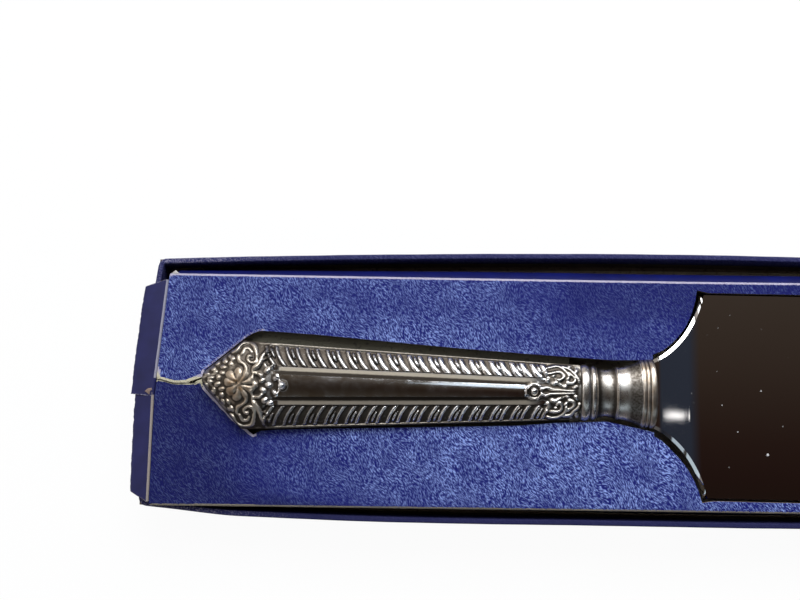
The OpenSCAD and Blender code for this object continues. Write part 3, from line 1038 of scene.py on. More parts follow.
    def dullness(self, x: Array, y: Array) -> Array:
        """How matt the plate is at each place: the flats and the rim most, then the ornament."""
        f = np.abs(y) / self.taper(x)
        rib, valley, edge = self.rib_share(x), self.valley_edge, 0.01
        begun = smooth_step(self.rib_start - 0.5, self.rib_start + 0.5, x)
        along = begun * (1.0 - smooth_step(86.0, 92.0, x))
        across = smooth_step(rib, rib + edge, f) * (1.0 - smooth_step(valley - edge, valley, f))
        flat = self.matt_flat * along * across
        rim = self.matt_rim * smooth_step(self.lane_edge - edge, self.lane_edge, f)
        point = self.matt_point * (1.0 - smooth_step(15.0, 20.0, x))
        ends = point + self.matt_neck * smooth_step(91.0, 92.5, x)
        return np.maximum(np.maximum(flat, rim), ends)

    def lane_floor(self, x: Array, y: Array) -> Array:
        """Where tarnish lies: on the floor of a lane between its ridges and eyes, and a little along the rim,
        with painted shade: the far lanes cleaner toward the neck, a film toward the point and a darker near
        rim.
        """
        h = self.taper(x)
        lane_w = (self.lane_edge - self.valley_edge) * h
        s = (np.abs(y) / h - self.valley_edge) / (self.lane_edge - self.valley_edge)
        bare = self.gadroons(x, s, lane_w, self.swell(x, y)) <= 0.2 * self.ridge_h
        lane = (s > 0.03) & (s < 0.97) & (x > self.lane_start) & (x < self.lane_stop)
        # Painted light: the far lanes are left cleaner toward the neck.
        clean = 1.0 - 0.72 * smooth_step(48.0, 84.0, x) * (y > 0)
        # Painted shade: a film darkens the lanes toward the point.
        film = self.lane_shade_film * (1.0 - smooth_step(24.0, 70.0, x)) * lane
        # The rim's tarnish, heavier on the near side as painted shade.
        rim = np.where(y > 0, *self.rim_dirt_and_shade) * (s >= 0.97)
        return np.max([self.lane_dirt * clean * (bare & lane), film, rim], 0)

    def heights(self, x: Array, y: Array) -> Array:
        """Height of the top half over the seam at each place."""
        side = np.abs(y)
        h = self.taper(x)
        q = h * self.thickness_share
        f = side / h
        t = side / self.half_width(x)
        rise = smooth_step(-0.6, 1.0, x / self.point_l)
        crown = self.point_h + (self.crown_share * q - self.point_h) * np.clip(rise, 0, 1)
        edge = self.edge_h + (self.edge_share * q - self.edge_h) * np.clip(x / self.point_l, 0, 1)
        end_ground = crown - (crown - edge) * np.clip(t, 0, 1) ** 2.3
        lane_s = (f - self.valley_edge) / (self.lane_edge - self.valley_edge)
        lane_w = (self.lane_edge - self.valley_edge) * h
        belly = self.lane_belly * np.sin(np.pi * np.clip(lane_s, 0, 1))
        lane = q * (self.lane_share - self.lane_fall * lane_s + belly) - self.lane_sink
        lane = lane + self.gadroons(x, lane_s, lane_w, self.swell(x, y))
        rim_s = (f - self.lane_edge) / (1.0 - self.lane_edge)
        bead = self.rim_bead * np.abs(np.sin(2 * np.pi * np.clip(rim_s, 0, 1)))
        rim = self.rim_share * q - self.rim_fall * rim_s + bead
        edge_f = self.rib_share(x)
        middle = (self.rib_start + self.rib_stop) / 2
        bow = self.rib_bow * np.clip(1.0 - ((x - middle) / (middle - self.rib_start)) ** 2, 0.0, None)
        rib = q * (1.0 - self.rib_round * (f / edge_f) ** 2) + bow
        flat_s = (f - edge_f) / (self.valley_edge - edge_f)
        flat = q * (self.flat_share - self.flat_fall * flat_s)
        outer = np.where(f < self.lane_edge, lane, rim)
        body = np.where(f < edge_f, rib, np.where(f < self.valley_edge, flat, outer))
        begin = self.lane_start + (self.rib_start - self.lane_start) * (1.0 - smooth_step(0.1, 0.62, f))
        by_rib = 1.0 - smooth_step(edge_f, edge_f + 0.02, f)
        stop = self.lane_stop - (self.lane_stop - self.rib_stop) * by_rib
        inside = smooth_step(begin - 0.35, begin + 0.35, x) * (1.0 - smooth_step(stop - 0.3, stop + 0.3, x))
        ground = end_ground + (body - end_ground) * inside
        relief = np.zeros_like(x)
        neck = smooth_step(89.5, 92.0, x)
        ends = 1.0 - smooth_step(19.0, 21.0, x) + neck
        hand_x = x + (0.24 + 0.16 * neck) * ends * np.sin(1.1 * y + 0.7 * x + 0.8)
        sway = np.sin(0.9 * x + np.where(y > 0, 0.4, 2.3))
        hand_y = side + 0.22 * ends * sway * smooth_step(0.6, 2.0, side)
        for shape in [*self.terminal_ornament(), *self.neck_ornament()]:
            relief = np.maximum(relief, shape.height(hand_x, hand_y))
        return ground + relief * smooth_step(0.0, 0.10, 1.0 - t) * (1.0 - 0.2 * ends)

    def cavity(self, x: Array, y: Array) -> Array:
        """Height of the hollow inside the shell at each place."""
        h = self.taper(x)
        q = h * self.thickness_share
        f = np.abs(y) / h
        knots = [0.0, 0.12, 0.25, 0.44, 1.0]
        levels = [0.85, 0.85, 0.79, 0.70, 0.36]
        point = np.clip(x / self.point_l, 0, 1)
        cap = self.point_h - self.wall + point * (levels[0] * q - self.point_h + self.wall)
        return np.maximum(0.4, np.minimum(np.interp(f, knots, levels) * q - self.wall, cap - self.wall))

    def rows(self) -> Array:
        """Places of the grid lines across the handle, closer beside each step of the section."""
        step = 0.004
        half = np.concatenate([
            np.linspace(0.0, self.rib_edge - step, 13),
            np.linspace(self.rib_edge + step, self.valley_edge - step, 8),
            np.linspace(self.valley_edge + step, self.lane_edge - step, 30),
            np.linspace(self.lane_edge + step, 1.0, 6),
        ])
        return np.concatenate([-half[:0:-1], half])

    def draft(self) -> Draft:
        """The top half as a closed shell."""
        t = self.rows()
        xs = np.linspace(0.0, self.length, int(round(self.length / self.step_x)) + 1)
        x = np.repeat(xs[:, None], len(t), 1)
        y = self.spread(t[None, :], x) * self.half_width(x)
        z = self.heights(x, y)
        soft = 1.0 - smooth_step(17.0, 20.5, x) + smooth_step(90.0, 92.0, x)
        z = z + 0.7 * soft * (self.blurred(z, 1, 1) - z)
        points = [np.stack([x, y, z], -1).reshape(-1, 3)]
        faces = grid_faces(len(xs), len(t))
        depth = 0.26 - 0.09 * np.clip(soft, 0.0, 1.0)
        sunk = np.clip((self.blurred(z) - z) / depth + 0.22 * soft, 0.0, 1.0)
        # Tarnish in the hollows, with the lanes' painted shade.
        hollow = [np.maximum(sunk, self.lane_floor(x, y)).reshape(-1)]
        off_x = (x - self.copper_spot[0]) / self.copper_reach[0]
        off_y = (y - self.copper_spot[1]) / self.copper_reach[1]
        bloom = np.exp(-off_x**2 - off_y**2).reshape(-1)
        dull = self.dullness(x, y).reshape(-1)
        loop = rim_of_grid(len(xs), len(t))
        count = len(points[0])
        edge = points[0][loop]
        for share, inset in ((0.6, 0.0), (0.25, 0.0), (0.04, 0.0), (0.0, 0.10)):
            ring = edge.copy()
            ring[:, 2] *= share
            ring[:, 1] -= np.sign(ring[:, 1]) * inset
            points.append(ring)
            hollow.append(np.full(len(loop), 0.2 + 0.5 * (share < 0.05)))
            now = list(range(count, count + len(loop)))
            sides = zip(loop, loop[1:] + loop[:1], now, now[1:] + now[:1])
            faces += [(next_a, next_b, b, a) for a, next_a, b, next_b in sides]
            loop, count = now, count + len(loop)
        inner_t = np.linspace(-1.0, 1.0, 25)
        inner_xs = np.linspace(self.wall * 1.4, self.length - self.wall, 90)
        ix = np.repeat(inner_xs[:, None], len(inner_t), 1)
        iy = inner_t[None, :] * (self.half_width(ix) - self.wall * 1.4)
        iz = self.cavity(ix, iy)
        iz[0, :] = iz[-1, :] = iz[:, 0] = iz[:, -1] = 0.0
        points.append(np.stack([ix, iy, iz], -1).reshape(-1, 3))
        hollow.append(np.full(ix.size, 0.6))
        faces += [f[::-1] for f in grid_faces(len(inner_xs), len(inner_t), count)]
        all_points = np.concatenate(points)
        faces += [f[::-1] for f in stitch(loop, rim_of_grid(len(inner_xs), len(inner_t), count), all_points)]
        all_points[:, 1] += self.lie.skew(all_points[:, 0])
        rest = np.zeros(len(all_points) - len(bloom))
        marks = {
            Mark.HOLLOW: np.concatenate(hollow), Mark.BLOOM: np.concatenate([bloom, rest]),
            Mark.SHADE: np.concatenate([dull, rest + 0.5]),
        }
        return Draft(all_points, faces, marks)

    def core(self) -> Draft:
        """The cement inside the shells, a little smaller than their hollow."""
        t = np.linspace(-1.0, 1.0, 17)
        stations = []
        for x in np.linspace(self.wall * 2.4, self.length - self.wall * 1.6, 48):
            along = np.full(len(t), x)
            y = t * (self.half_width(along) - 2.0 * self.wall)
            z = np.maximum(0.25, self.cavity(along, y) - 0.15)
            y = y + self.lie.skew(along)
            upper, lower = np.stack([along, y, z], -1), np.stack([along, y, -z], -1)
            stations.append(np.concatenate([upper, lower[::-1]]))
        return loft(np.array(stations))

    @staticmethod
    def blurred(z: Array, reach: int = 3, passes: int = 2) -> Array:
        """A height grid averaged over its neighbours."""
        out = z
        for axis in (0, 1) * passes:
            first, last = (np.take(out, [k] * reach, axis) for k in (0, -1))
            padded = np.concatenate([first, out, last], axis)
            total = sum(np.take(padded, range(k, k + z.shape[axis]), axis) for k in range(2 * reach + 1))
            out = total / (2 * reach + 1)
        return out

    def build(self) -> None:
        """Makes both halves and seats them on the server."""
        top = self.draft()
        under = Draft(top.points * np.array([1, 1, -1]), [f[::-1] for f in top.faces], top.marks)
        for draft, name in ((top, "handle_top_shell"), (under, "handle_bottom_shell")):
            piece = draft.moved(self.lie.place).piece(name + "_chased", SILVER, 55)
            settle(piece, Body.SERVER, Slot.SILVER_PLATE, name)
        core = self.core().moved(self.lie.place).piece("handle_core", CEMENT)
        settle(core, Body.SERVER, Slot.HANDLE_CEMENT, "handle_filler")


@dataclass
class Turnings:
    """Bolster and collar: oval mouldings between the handle and the blade."""

    lie: ServerFrame
    neck_half: float = 7.25
    collar_half: float = 9.3
    bolster_flatness: float = 0.64
    collar_flatness: float = 0.54
    sides: int = 96
    steps: int = 12
    bolster_mouldings: tuple[tuple[float, float, float, float], ...] = (
        (0.0, 2.5, -0.32, 0.70), (2.85, 1.25, -0.40, 0.50),
        (4.3, 5.3, -0.06, -0.78), (9.75, 0.5, -0.22, 0.20),
    )
    flare_gap: float = 0.6
    collar_rings: tuple[tuple[float, float, float], ...] = (
        (0.0, 0.27, 0.36), (0.29, 0.25, 0.40), (0.56, 0.44, 0.55),
    )
    ring_h: float = 0.55
    flare_darkening: float = 0.55
    bolster_look: Point = (0.46, 0.20)
    collar_look: Point = (0.60, 0.62)

    def __post_init__(self) -> None:
        """Takes the places along the server from the frame."""
        self.start, self.joint = self.lie.span("bolster")
        self.end = self.lie.span("collar")[1]

    def bolster_profile(self) -> list[Point]:
        """Half width along the bolster: two beads, a cove, an arris and a flare."""
        out: list[Point] = []
        for start, length, sink, rise in self.bolster_mouldings:
            at, foot = self.start + start, self.neck_half + sink
            for i in range(self.steps + 1):
                a = math.pi * i / self.steps
                out.append((at + length * (1 - math.cos(a)) / 2, foot + rise * math.sin(a)))
        begin = at + self.flare_gap
        for i in range(1, 2 * self.steps + 1):
            t = i / (2 * self.steps)
            widen = self.collar_half - self.ring_h - foot
            out.append((begin + (self.joint - begin) * t, foot + widen * t**1.5))
        return out

    def collar_profile(self) -> list[Point]:
        """Half width along the collar: two narrow rings and a wide one."""
        out: list[Point] = []
        length, foot = self.end - self.joint, self.collar_half - self.ring_h
        for start, width, rise in self.collar_rings:
            for i in range(self.steps + 1):
                a = math.pi * i / self.steps
                x = self.joint + length * (start + width * (1 - math.cos(a)) / 2)
                out.append((x, foot + rise * math.sin(a) ** 0.8 if 0 < i < self.steps else foot))
        return out

    def flatness(self, x: float) -> float:
        """Thickness over width at x."""
        share = min(1.0, (x - self.start) / (self.joint - self.start))
        return self.bolster_flatness + (self.collar_flatness - self.bolster_flatness) * share

    def turned(self, profile: Sequence[Point], dull: float, copper: float) -> Draft:
        """An oval turning of a profile.

        Args:
            profile: Half widths along the turning.
            dull: How matt its plate is.
            copper: How far its plate is worn through.

        Returns:
            The turning, with tarnish in its grooves, and darker where the bolster flares.
        """
        angle = np.linspace(0, 2 * np.pi, self.sides, endpoint=False)
        stations = np.stack([
            np.stack([np.full(self.sides, x), r * np.cos(angle), r * self.flatness(x) * np.sin(angle)], -1)
            for x, r in profile
        ])
        draft = loft(stations)
        draft.faces = [f[::-1] for f in draft.faces] if self.faces_in(draft) else draft.faces
        radii = np.array([r for _, r in profile])
        near = np.array([radii[max(0, i - 2):i + 3].max() for i in range(len(radii))])
        along = np.array([x for x, _ in profile])
        flared = smooth_step(self.joint - 5.0, self.joint - 2.6, along) * (along < self.joint)
        flare = self.flare_darkening * flared
        hollow = np.maximum(np.clip((near - radii - 0.12) / 0.35, 0, 0.75), flare)
        draft.marks[Mark.HOLLOW] = np.repeat(hollow, self.sides)
        draft.marks[Mark.SHADE] = np.full(len(draft.points), dull)
        draft.marks[Mark.BLOOM] = np.full(len(draft.points), copper)
        return draft

    @staticmethod
    def faces_in(draft: Draft) -> bool:
        """Whether the first wall face of a turning looks towards its axis."""
        a, b, c = (draft.points[i] for i in draft.faces[0][:3])
        return float(np.dot(np.cross(b - a, c - a)[1:], a[1:])) < 0

    def build(self) -> None:
        """Makes both turnings and seats them on the server."""
        for node, profile, look in (
            ("bolster", self.bolster_profile(), self.bolster_look),
            ("collar", self.collar_profile(), self.collar_look),
        ):
            draft = self.turned(profile, *look).moved(self.lie.place)
            piece = draft.piece(node + "_turned", SILVER, 50)
            settle(piece, Body.SERVER, Slot.SILVER_PLATE, node)


@dataclass
class Blade:
    """Flat polished blade with a sloping neck, hollow shoulders and a pointed end."""

    lie: ServerFrame
    neck_half: float = 9.22
    half_w: float = 27.6
    thickness: float = 1.3
    drop: float = 3.4
    crank_start: float = 0.8
    crank_l: float = 14.5
    bend_in: float = 0.08
    bend_out: float = 0.36
    shoulder_l: float = 14.0
    shoulder_r: float = 25.0
    tip_l: float = 60.0
    shoulder_bevel: float = 0.85
    side_bevel: float = 0.12
    bevel_drop: float = 0.50
    tang_l: float = 66.0
    tang_w: float = 5.0
    tang_t: float = 2.4
    tang_taper: float = 0.8
    tang_chamfer: float = 0.82
    point_half: float = 0.12

    def __post_init__(self) -> None:
        """Takes the blade's ends from the frame and finds the centres of its arcs."""
        self.tip = self.lie.span("blade")[1]
        self.root = self.lie.span("collar")[1]
        p = np.array([self.root, self.neck_half])
        q = np.array([self.root + self.shoulder_l, self.half_w])
        d = q - p
        reach = np.linalg.norm(d)
        normal = np.array([-d[1], d[0]]) / reach
        self.centre = (p + q) / 2 + normal * math.sqrt(self.shoulder_r**2 - reach**2 / 4)
        self.tip_r = (self.tip_l**2 + self.half_w**2) / (2 * self.half_w)

    def outline(self, x: Array, inset: float, bevel: float) -> Array:
        """Half width at x, set in by inset along the sides and by bevel along the shoulders."""
        r = self.shoulder_r + bevel
        run = np.clip(r * r - (x - self.centre[0]) ** 2, 0.0, None)
        shoulder = np.where(x - self.centre[0] < r, self.centre[1] - np.sqrt(run), 1e3)
        tip_r = self.tip_r - inset
        start = self.tip - self.tip_l
        over = np.clip(tip_r**2 - np.clip(x - start, 0, None) ** 2, 0.0, None)
        ogive = self.half_w - self.tip_r + np.sqrt(over)
        return np.maximum(0.0, np.minimum(np.minimum(shoulder, self.half_w - inset), ogive))

    def level(self, x: Array) -> Array:
        """Height of the blade's middle over the seam at x."""
        t = np.clip((x - self.root - self.crank_start) / self.crank_l, 0.0, 1.0)
        a, b = self.bend_in, self.bend_out
        start = np.clip(t, 0.0, a) ** 2 / (2 * a)
        middle = np.clip(t - a, 0.0, 1.0 - a - b)
        end = np.clip(t - 1.0 + b, 0.0, b)
        return -self.drop * (start + middle + end - end**2 / (2 * b)) / (1.0 - a / 2 - b / 2)

    def stations(self) -> Array:
        """Places along the blade, closer at the shoulders and the tip."""
        corner = self.root + self.shoulder_l
        turn = np.sin(np.linspace(0, np.pi / 2, 60))
        tip_start = self.tip - self.tip_l
        end = tip_start + self.tip_l * np.sin(np.linspace(0, np.pi / 2, 70)) * 0.9985
        middle = np.linspace(corner, tip_start, 24)
        shoulder = self.root + self.shoulder_l * turn
        return np.unique(np.concatenate([shoulder, corner + np.linspace(0, 2, 9), middle, end]))

    def draft(self) -> Draft:
        """The blade as a closed plate with a ground edge."""
        xs = self.stations()
        outer = np.maximum(self.outline(xs, 0.0, 0.0), self.point_half)
        inner = np.minimum(self.outline(xs, self.side_bevel, self.shoulder_bevel), outer - 0.05)
        inner = np.maximum(inner, self.point_half / 3)
        mid = self.level(xs)
        top, low = mid + self.thickness / 2, mid - self.thickness / 2
        edge = top - self.bevel_drop
        strip = inner - np.minimum(0.2, 0.5 * inner)
        section = [
            (-outer, low), (outer, low), (outer, edge), (inner, top), (strip, top), (inner * 0, top),
            (-strip, top), (-inner, top), (-outer, edge),
        ]
        stations = np.stack([np.stack([xs, y, z], -1) for y, z in section], 1)
        return loft(stations)

    def tang(self) -> Draft:
        """The tang inside the handle, tapering to its end."""
        xs = np.linspace(self.root - self.tang_l, self.root, 12)
        half_w, half_t = (
            np.interp(xs, [xs[0], xs[-1]], [size / 2 * self.tang_taper, size / 2])
            for size in (self.tang_w, self.tang_t)
        )
        c = self.tang_chamfer
        corners = [(-1, -c), (-c, -1), (c, -1), (1, -c), (1, c), (c, 1), (-c, 1), (-1, c)]
        stations = np.stack([np.stack([xs, half_w * a, half_t * b], -1) for a, b in corners], 1)
        return loft(stations)

    def build(self) -> None:
        """Makes the blade with its tang and seats it on the server."""
        plate, tang = self.draft(), self.tang()
        shift = len(plate.points)
        faces = [*plate.faces, *[[i + shift for i in f] for f in tang.faces]]
        whole = Draft(np.concatenate([plate.points, tang.points]), faces)
        piece = whole.moved(self.lie.place).piece("blade_polished", STEEL, 16)
        settle(piece, Body.SERVER, Slot.POLISHED_STEEL, "blade")


# Card sheets of the insert


def plan_outline(node: str) -> Array:
    """Outline of a flat node's top face in order, counter-clockwise, in millimetres."""
    mesh = bmesh.new()
    mesh.from_mesh(frame["nodes"][node].data)
    bmesh.ops.remove_doubles(mesh, verts=mesh.verts, dist=1e-6)
    level = max(v.co.z for v in mesh.verts)
    top = {f for f in mesh.faces if all(abs(v.co.z - level) < 1e-6 for v in f.verts)}
    following: dict[int, int] = {}
    places = {v.index: (v.co.x / MM, v.co.y / MM) for v in mesh.verts}
    for face in top:
        for loop in face.loops:
            if sum(other in top for other in loop.edge.link_faces) == 1:
                following[loop.vert.index] = loop.link_loop_next.vert.index
    start = min(following, key=places.__getitem__)
    order = [start]
    while following[order[-1]] != start:
        order.append(following[order[-1]])
    mesh.free()
    return np.array([places[i] for i in order])


def rounded_corner(outline: Array, index: int, radius: float, steps: int = 8) -> Array:
    """Replaces one corner of an outline with an arc.

    Args:
        outline: The outline's points.
        index: The corner.
        radius: Length cut from both edges.
        steps: Steps of the arc.

    Returns:
        The new outline.
    """
    corner = outline[index]
    before, after = outline[index - 1], outline[(index + 1) % len(outline)]
    a = corner + (before - corner) * min(0.45, radius / np.linalg.norm(before - corner))
    b = corner + (after - corner) * min(0.45, radius / np.linalg.norm(after - corner))
    arc = [(1 - t) ** 2 * a + 2 * t * (1 - t) * corner + t * t * b for t in np.linspace(0, 1, steps)]
    return np.concatenate([outline[:index], arc, outline[index + 1:]])


def resampled(outline: Array, step: float) -> Array:
    """An outline with extra points so that no edge is longer than step."""
    out = []
    for a, b in zip(outline, np.roll(outline, -1, 0)):
        count = max(1, int(math.ceil(np.linalg.norm(b - a) / step)))
        out += [a + (b - a) * i / count for i in range(count)]
    return np.array(out)


def gap_to_outline(places: Array, outline: Array) -> Array:
    """Distance of each place from an outline."""
    best = np.full(len(places), np.inf)
    for a, b in zip(outline, np.roll(outline, -1, 0)):
        d = b - a
        t = np.clip(((places - a) @ d) / max(float(d @ d), 1e-12), 0.0, 1.0)
        best = np.minimum(best, np.hypot(*(places - a - t[:, None] * d).T))
    return best


def inside_outline(places: Array, outline: Array) -> Array:
    """Whether each place lies inside an outline."""
    found = np.zeros(len(places), bool)
    for a, b in zip(outline, np.roll(outline, -1, 0)):
        crosses = (a[1] > places[:, 1]) != (b[1] > places[:, 1])
        with np.errstate(divide="ignore", invalid="ignore"):
            at = a[0] + (places[:, 1] - a[1]) * (b[0] - a[0]) / (b[1] - a[1])
        found ^= crosses & (places[:, 0] < at)
    return found


@dataclass
class CutSheet:
    """A sheet cut to an outline, meshed with rows of points along its edge."""

    outline: Array
    insets: Sequence[float] = (0.12, 0.28, 0.48, 0.70, 1.0)
    spacing: float = 4.0
    fine_spot: Point = (0.0, 0.0)
    fine_reach: float = 2.6
    fine_spacing: float = 0.4

    def __post_init__(self) -> None:
        """Meshes the plan of the sheet."""
        edge = self.outline
        along = np.roll(edge, -1, 0) - np.roll(edge, 1, 0)
        inward = np.stack([-along[:, 1], along[:, 0]], -1)
        inward /= np.maximum(np.linalg.norm(inward, axis=1, keepdims=True), 1e-9)
        extra = [edge + inward * inset for inset in self.insets]
        low, high = edge.min(0), edge.max(0)
        spot, reach = np.array(self.fine_spot), self.fine_reach
        grid = self.lattice(low, high, self.spacing)
        grid = grid[np.hypot(*(grid - spot).T) > reach + 1.0]
        close = self.lattice((-reach, -reach), (reach, reach), self.fine_spacing)
        close = close[np.hypot(*close.T) < reach] + spot
        keep = []
        for places, least in [*zip(extra, self.insets), (close, 1.2), (grid, 2.0)]:
            near = gap_to_outline(places, edge)
            keep.append(places[inside_outline(places, edge) & (near > 0.9 * least)])
        places = np.concatenate([edge, *keep])
        count = len(edge)
        found = delaunay_2d_cdt([Vector(p) for p in places], [], [list(range(count))], 1, 1e-5)
        self.plan = np.array([tuple(v) for v in found[0]])
        self.triangles = [list(t) for t in found[2]]
        number = {old: new for new, olds in enumerate(found[3]) for old in olds}
        self.loop = [number[k] for k in range(count)]
        self.edge_gap = gap_to_outline(self.plan, edge)

    @staticmethod
    def lattice(low: Sequence[float], high: Sequence[float], step: float) -> Array:
        """Places of a square lattice between two corners."""
        lines = [np.arange(a, b, step) for a, b in zip(low, high)]
        return np.stack(np.meshgrid(*lines), -1).reshape(-1, 2)

    def solid(self, top: Array, bottom: Array, wear: Array) -> Draft:
        """The sheet between two surfaces.

        Args:
            top: Height of the upper surface at each point of the plan.
            bottom: Height of the lower surface at each point of the plan.
            wear: Wear at each point of the plan.

        Returns:
            A closed draft.
        """
        count = len(self.plan)
        points = np.concatenate([np.column_stack([self.plan, top]), np.column_stack([self.plan, bottom])])
        faces = [*self.triangles, *[[i + count for i in t[::-1]] for t in self.triangles]]
        faces += band([i + count for i in self.loop], self.loop)
        return Draft(points, faces, {Mark.WEAR: np.concatenate([wear, wear])})


@dataclass
class Insert:
    """Loose card insert: grained facing on a card, folded legs and the torn left flap."""

    lie: ServerFrame
    corner_round: float = 5.0
    fold_r: float = 0.80
    facing_t: float = 0.25
    near_dip: float = 0.55
    tear: tuple[Point, ...] = ((0.0, 0.85), (3.2, 0.55), (6.5, 0.0), (9.7, -0.15), (15.5, -0.10))
    tear_kink: float = 0.35
    wall_t: float = 1.5
    leg_cut: float = 9.0
    bruise: Point = (-1.6, 1.6)
    far_fold_wear: float = 1.05
    near_fold_wear: float = 0.78
    end_fold_wear: float = 0.85
    near_point_wear: float = 1.15
    far_point_wear: float = 0.42
    lip_wear: float = 1.2
    bruise_wear: float = 1.3
    corner_wear: float = 1.2
    pale_scrap: tuple[Point, ...] = (
        (-146.0, 29.9), (-145.4, 30.5), (-144.9, 30.8), (-144.4, 30.3), (-143.9, 30.0), (-144.9, 29.7),
    )
    brown_scrap: tuple[Point, ...] = (
        (-151.75, -2.55), (-151.07, -2.95), (-150.5, -3.5), (-150.25, -2.55),
        (-149.57, -2.07), (-149.84, -1.6), (-150.93, -1.8),
    )

    def __post_init__(self) -> None:
        """Takes the insert's box from the frame."""
        low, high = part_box("insert_facing")
        self.low, self.high = np.array(low) / MM, np.array(high) / MM
        self.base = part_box("insert_panel")[0].z / MM
        self.tip = np.array(self.lie.place.translation)[:2]

    def along_server(self, plan: Array) -> Array:
        """Places of the insert's plan along the server's axes."""
        return self.lie.to_local(np.column_stack([plan, np.full(len(plan), self.high[2])]))

    def tear_line(self, x: Array) -> Array:
        """Where the middle of the tear runs at x."""
        run = x - self.low[0]
        kink = self.tear_kink * np.exp(-((run - 4.8) / 2.2) ** 2)
        return np.interp(run, *np.array(self.tear).T) - kink

    def cut_outline(self) -> Array:
        """The insert's outline, the cut-out's point pushed aside, a corner rounded and the tear ragged."""
        outline = plan_outline("insert_facing")
        local = self.along_server(outline)
        beside = (local[:, 0] > -1.5) & (local[:, 0] < 20) & (np.abs(local[:, 1]) < 18)
        near_corner = beside & (local[:, 1] < -10)
        far = int(np.argmax(np.where(beside & (local[:, 0] > 4), local[:, 1], -np.inf)))
        outline[:, 0] += np.where(near_corner, 1.5, 0.0)
        skewed = beside & (local[:, 0] > -1.0) & (local[:, 0] < 12)
        outline[:, 1] += np.where(skewed, self.lie.skew(local[:, 0]), 0.0)
        outline = resampled(rounded_corner(outline, far, self.corner_round), 0.7)
        local = self.along_server(outline)
        blade_side = smooth_step(133.0, 137.0, local[:, 0]) * smooth_step(26.0, 27.5, np.abs(local[:, 1]))
        by_fold = np.minimum(self.high[1] - outline[:, 1], outline[:, 1] - self.low[1]) < 1.0
        outline[:, 1] -= np.where(by_fold, 0.0, blade_side * np.where(local[:, 1] > 0, 0.62, -0.50))
        outline[:, 1] += self.closer(local)
        torn = self.torn(outline)
        old = np.interp(outline[:, 0] - self.low[0], *np.array(self.tear).T)
        above = outline[:, 1] > old
        draws = np.random.default_rng(SEED)
        jag = np.cumsum(draws.normal(0.0, 0.05, len(outline)))
        jag = np.clip(jag - np.convolve(jag, np.ones(9) / 9, "same"), -0.10, 0.10)
        moved = self.tear_line(outline[:, 0]) - old + jag - np.where(above, 0.36, 0.0)
        outline[:, 1] += np.where(torn, moved, 0.0)
        before_tip = outline[:, 0] < self.tip[0] - 0.2
        by_tip = smooth_step(self.tip[0] - 7.0, self.tip[0] - 3.0, outline[:, 0]) * before_tip
        lips = (np.abs(outline[:, 1] - self.tip[1]) < 3.0) & before_tip
        upper = outline[lips & above]
        far_lip = upper[np.argsort(upper[:, 0])].T
        around = [np.interp(outline[:, 0] + step, *far_lip) for step in np.linspace(-0.8, 0.8, 9)]
        raised = np.minimum(outline[:, 1] + 1.6 * by_tip, np.min(around, 0) - 0.08)
        outline[:, 1] = np.where(lips & ~above, np.maximum(raised, outline[:, 1]), outline[:, 1])
        local = self.along_server(outline)
        frayed = (local[:, 1] < 0.5) & (local[:, 0] > 0.3) & (local[:, 0] < 13) & (local[:, 1] > -14)
        outline[:, 1] += np.where(frayed, 0.10 * np.sin(2.3 * local[:, 0]) + 0.5 * jag, 0.0)
        return outline

    @staticmethod
    def closer(local: Array) -> Array:
        """How far the edges of the cut-out bend towards the handle and away from the near shoulder."""
        x, y = local[:, 0], local[:, 1]
        far = np.interp(x, [30, 69, 91, 112, 121, 123], [0, 0.8, 0.9, 0.9, 0.6, 0])
        run = [9, 13.5, 20, 30, 85, 95, 108, 118, 121, 123, 126, 132, 134.5]
        near = np.interp(x, run, [0, 1.1, 1.4, 1.4, 1.1, 1.7, 1.7, 0.5, 0, 0, -0.6, -0.6, 0])
        far = np.where(x > 121.0, np.interp(x, [121, 124, 130, 134], [0.6, 1.1, 1.1, 0]), far)
        on_far = (y > 7) & (y < 26.5) & (x > 16) & (x < 134)
        on_near = (y < -6) & (y > -27.5) & (x > 9) & (x < 134.5)
        return np.where(on_far, -far, np.where(on_near, near, 0.0))

    def widened(self, points: Array) -> Array:
        """The insert's points with its left end spread a little, as the worn card lies."""
        x, y = points[:, 0], points[:, 1]
        left = np.clip(-x / 150.0, 0.0, 1.0) ** 1.2
        shift = 0.65 * smooth_step(17.0, 28.5, y) - 0.45 * smooth_step(18.0, 31.0, -y)
        out = points.copy()
        out[:, 1] += left * shift
        return out

    def torn(self, places: Array) -> Array:
        """Which places lie on the lips of the tear."""
        inside = (places[:, 0] > self.low[0] + 0.3) & (places[:, 0] < self.tip[0] - 0.9)
        line = np.interp(places[:, 0] - self.low[0], *np.array(self.tear).T)
        return inside & (np.abs(places[:, 1] - line) < 0.45)

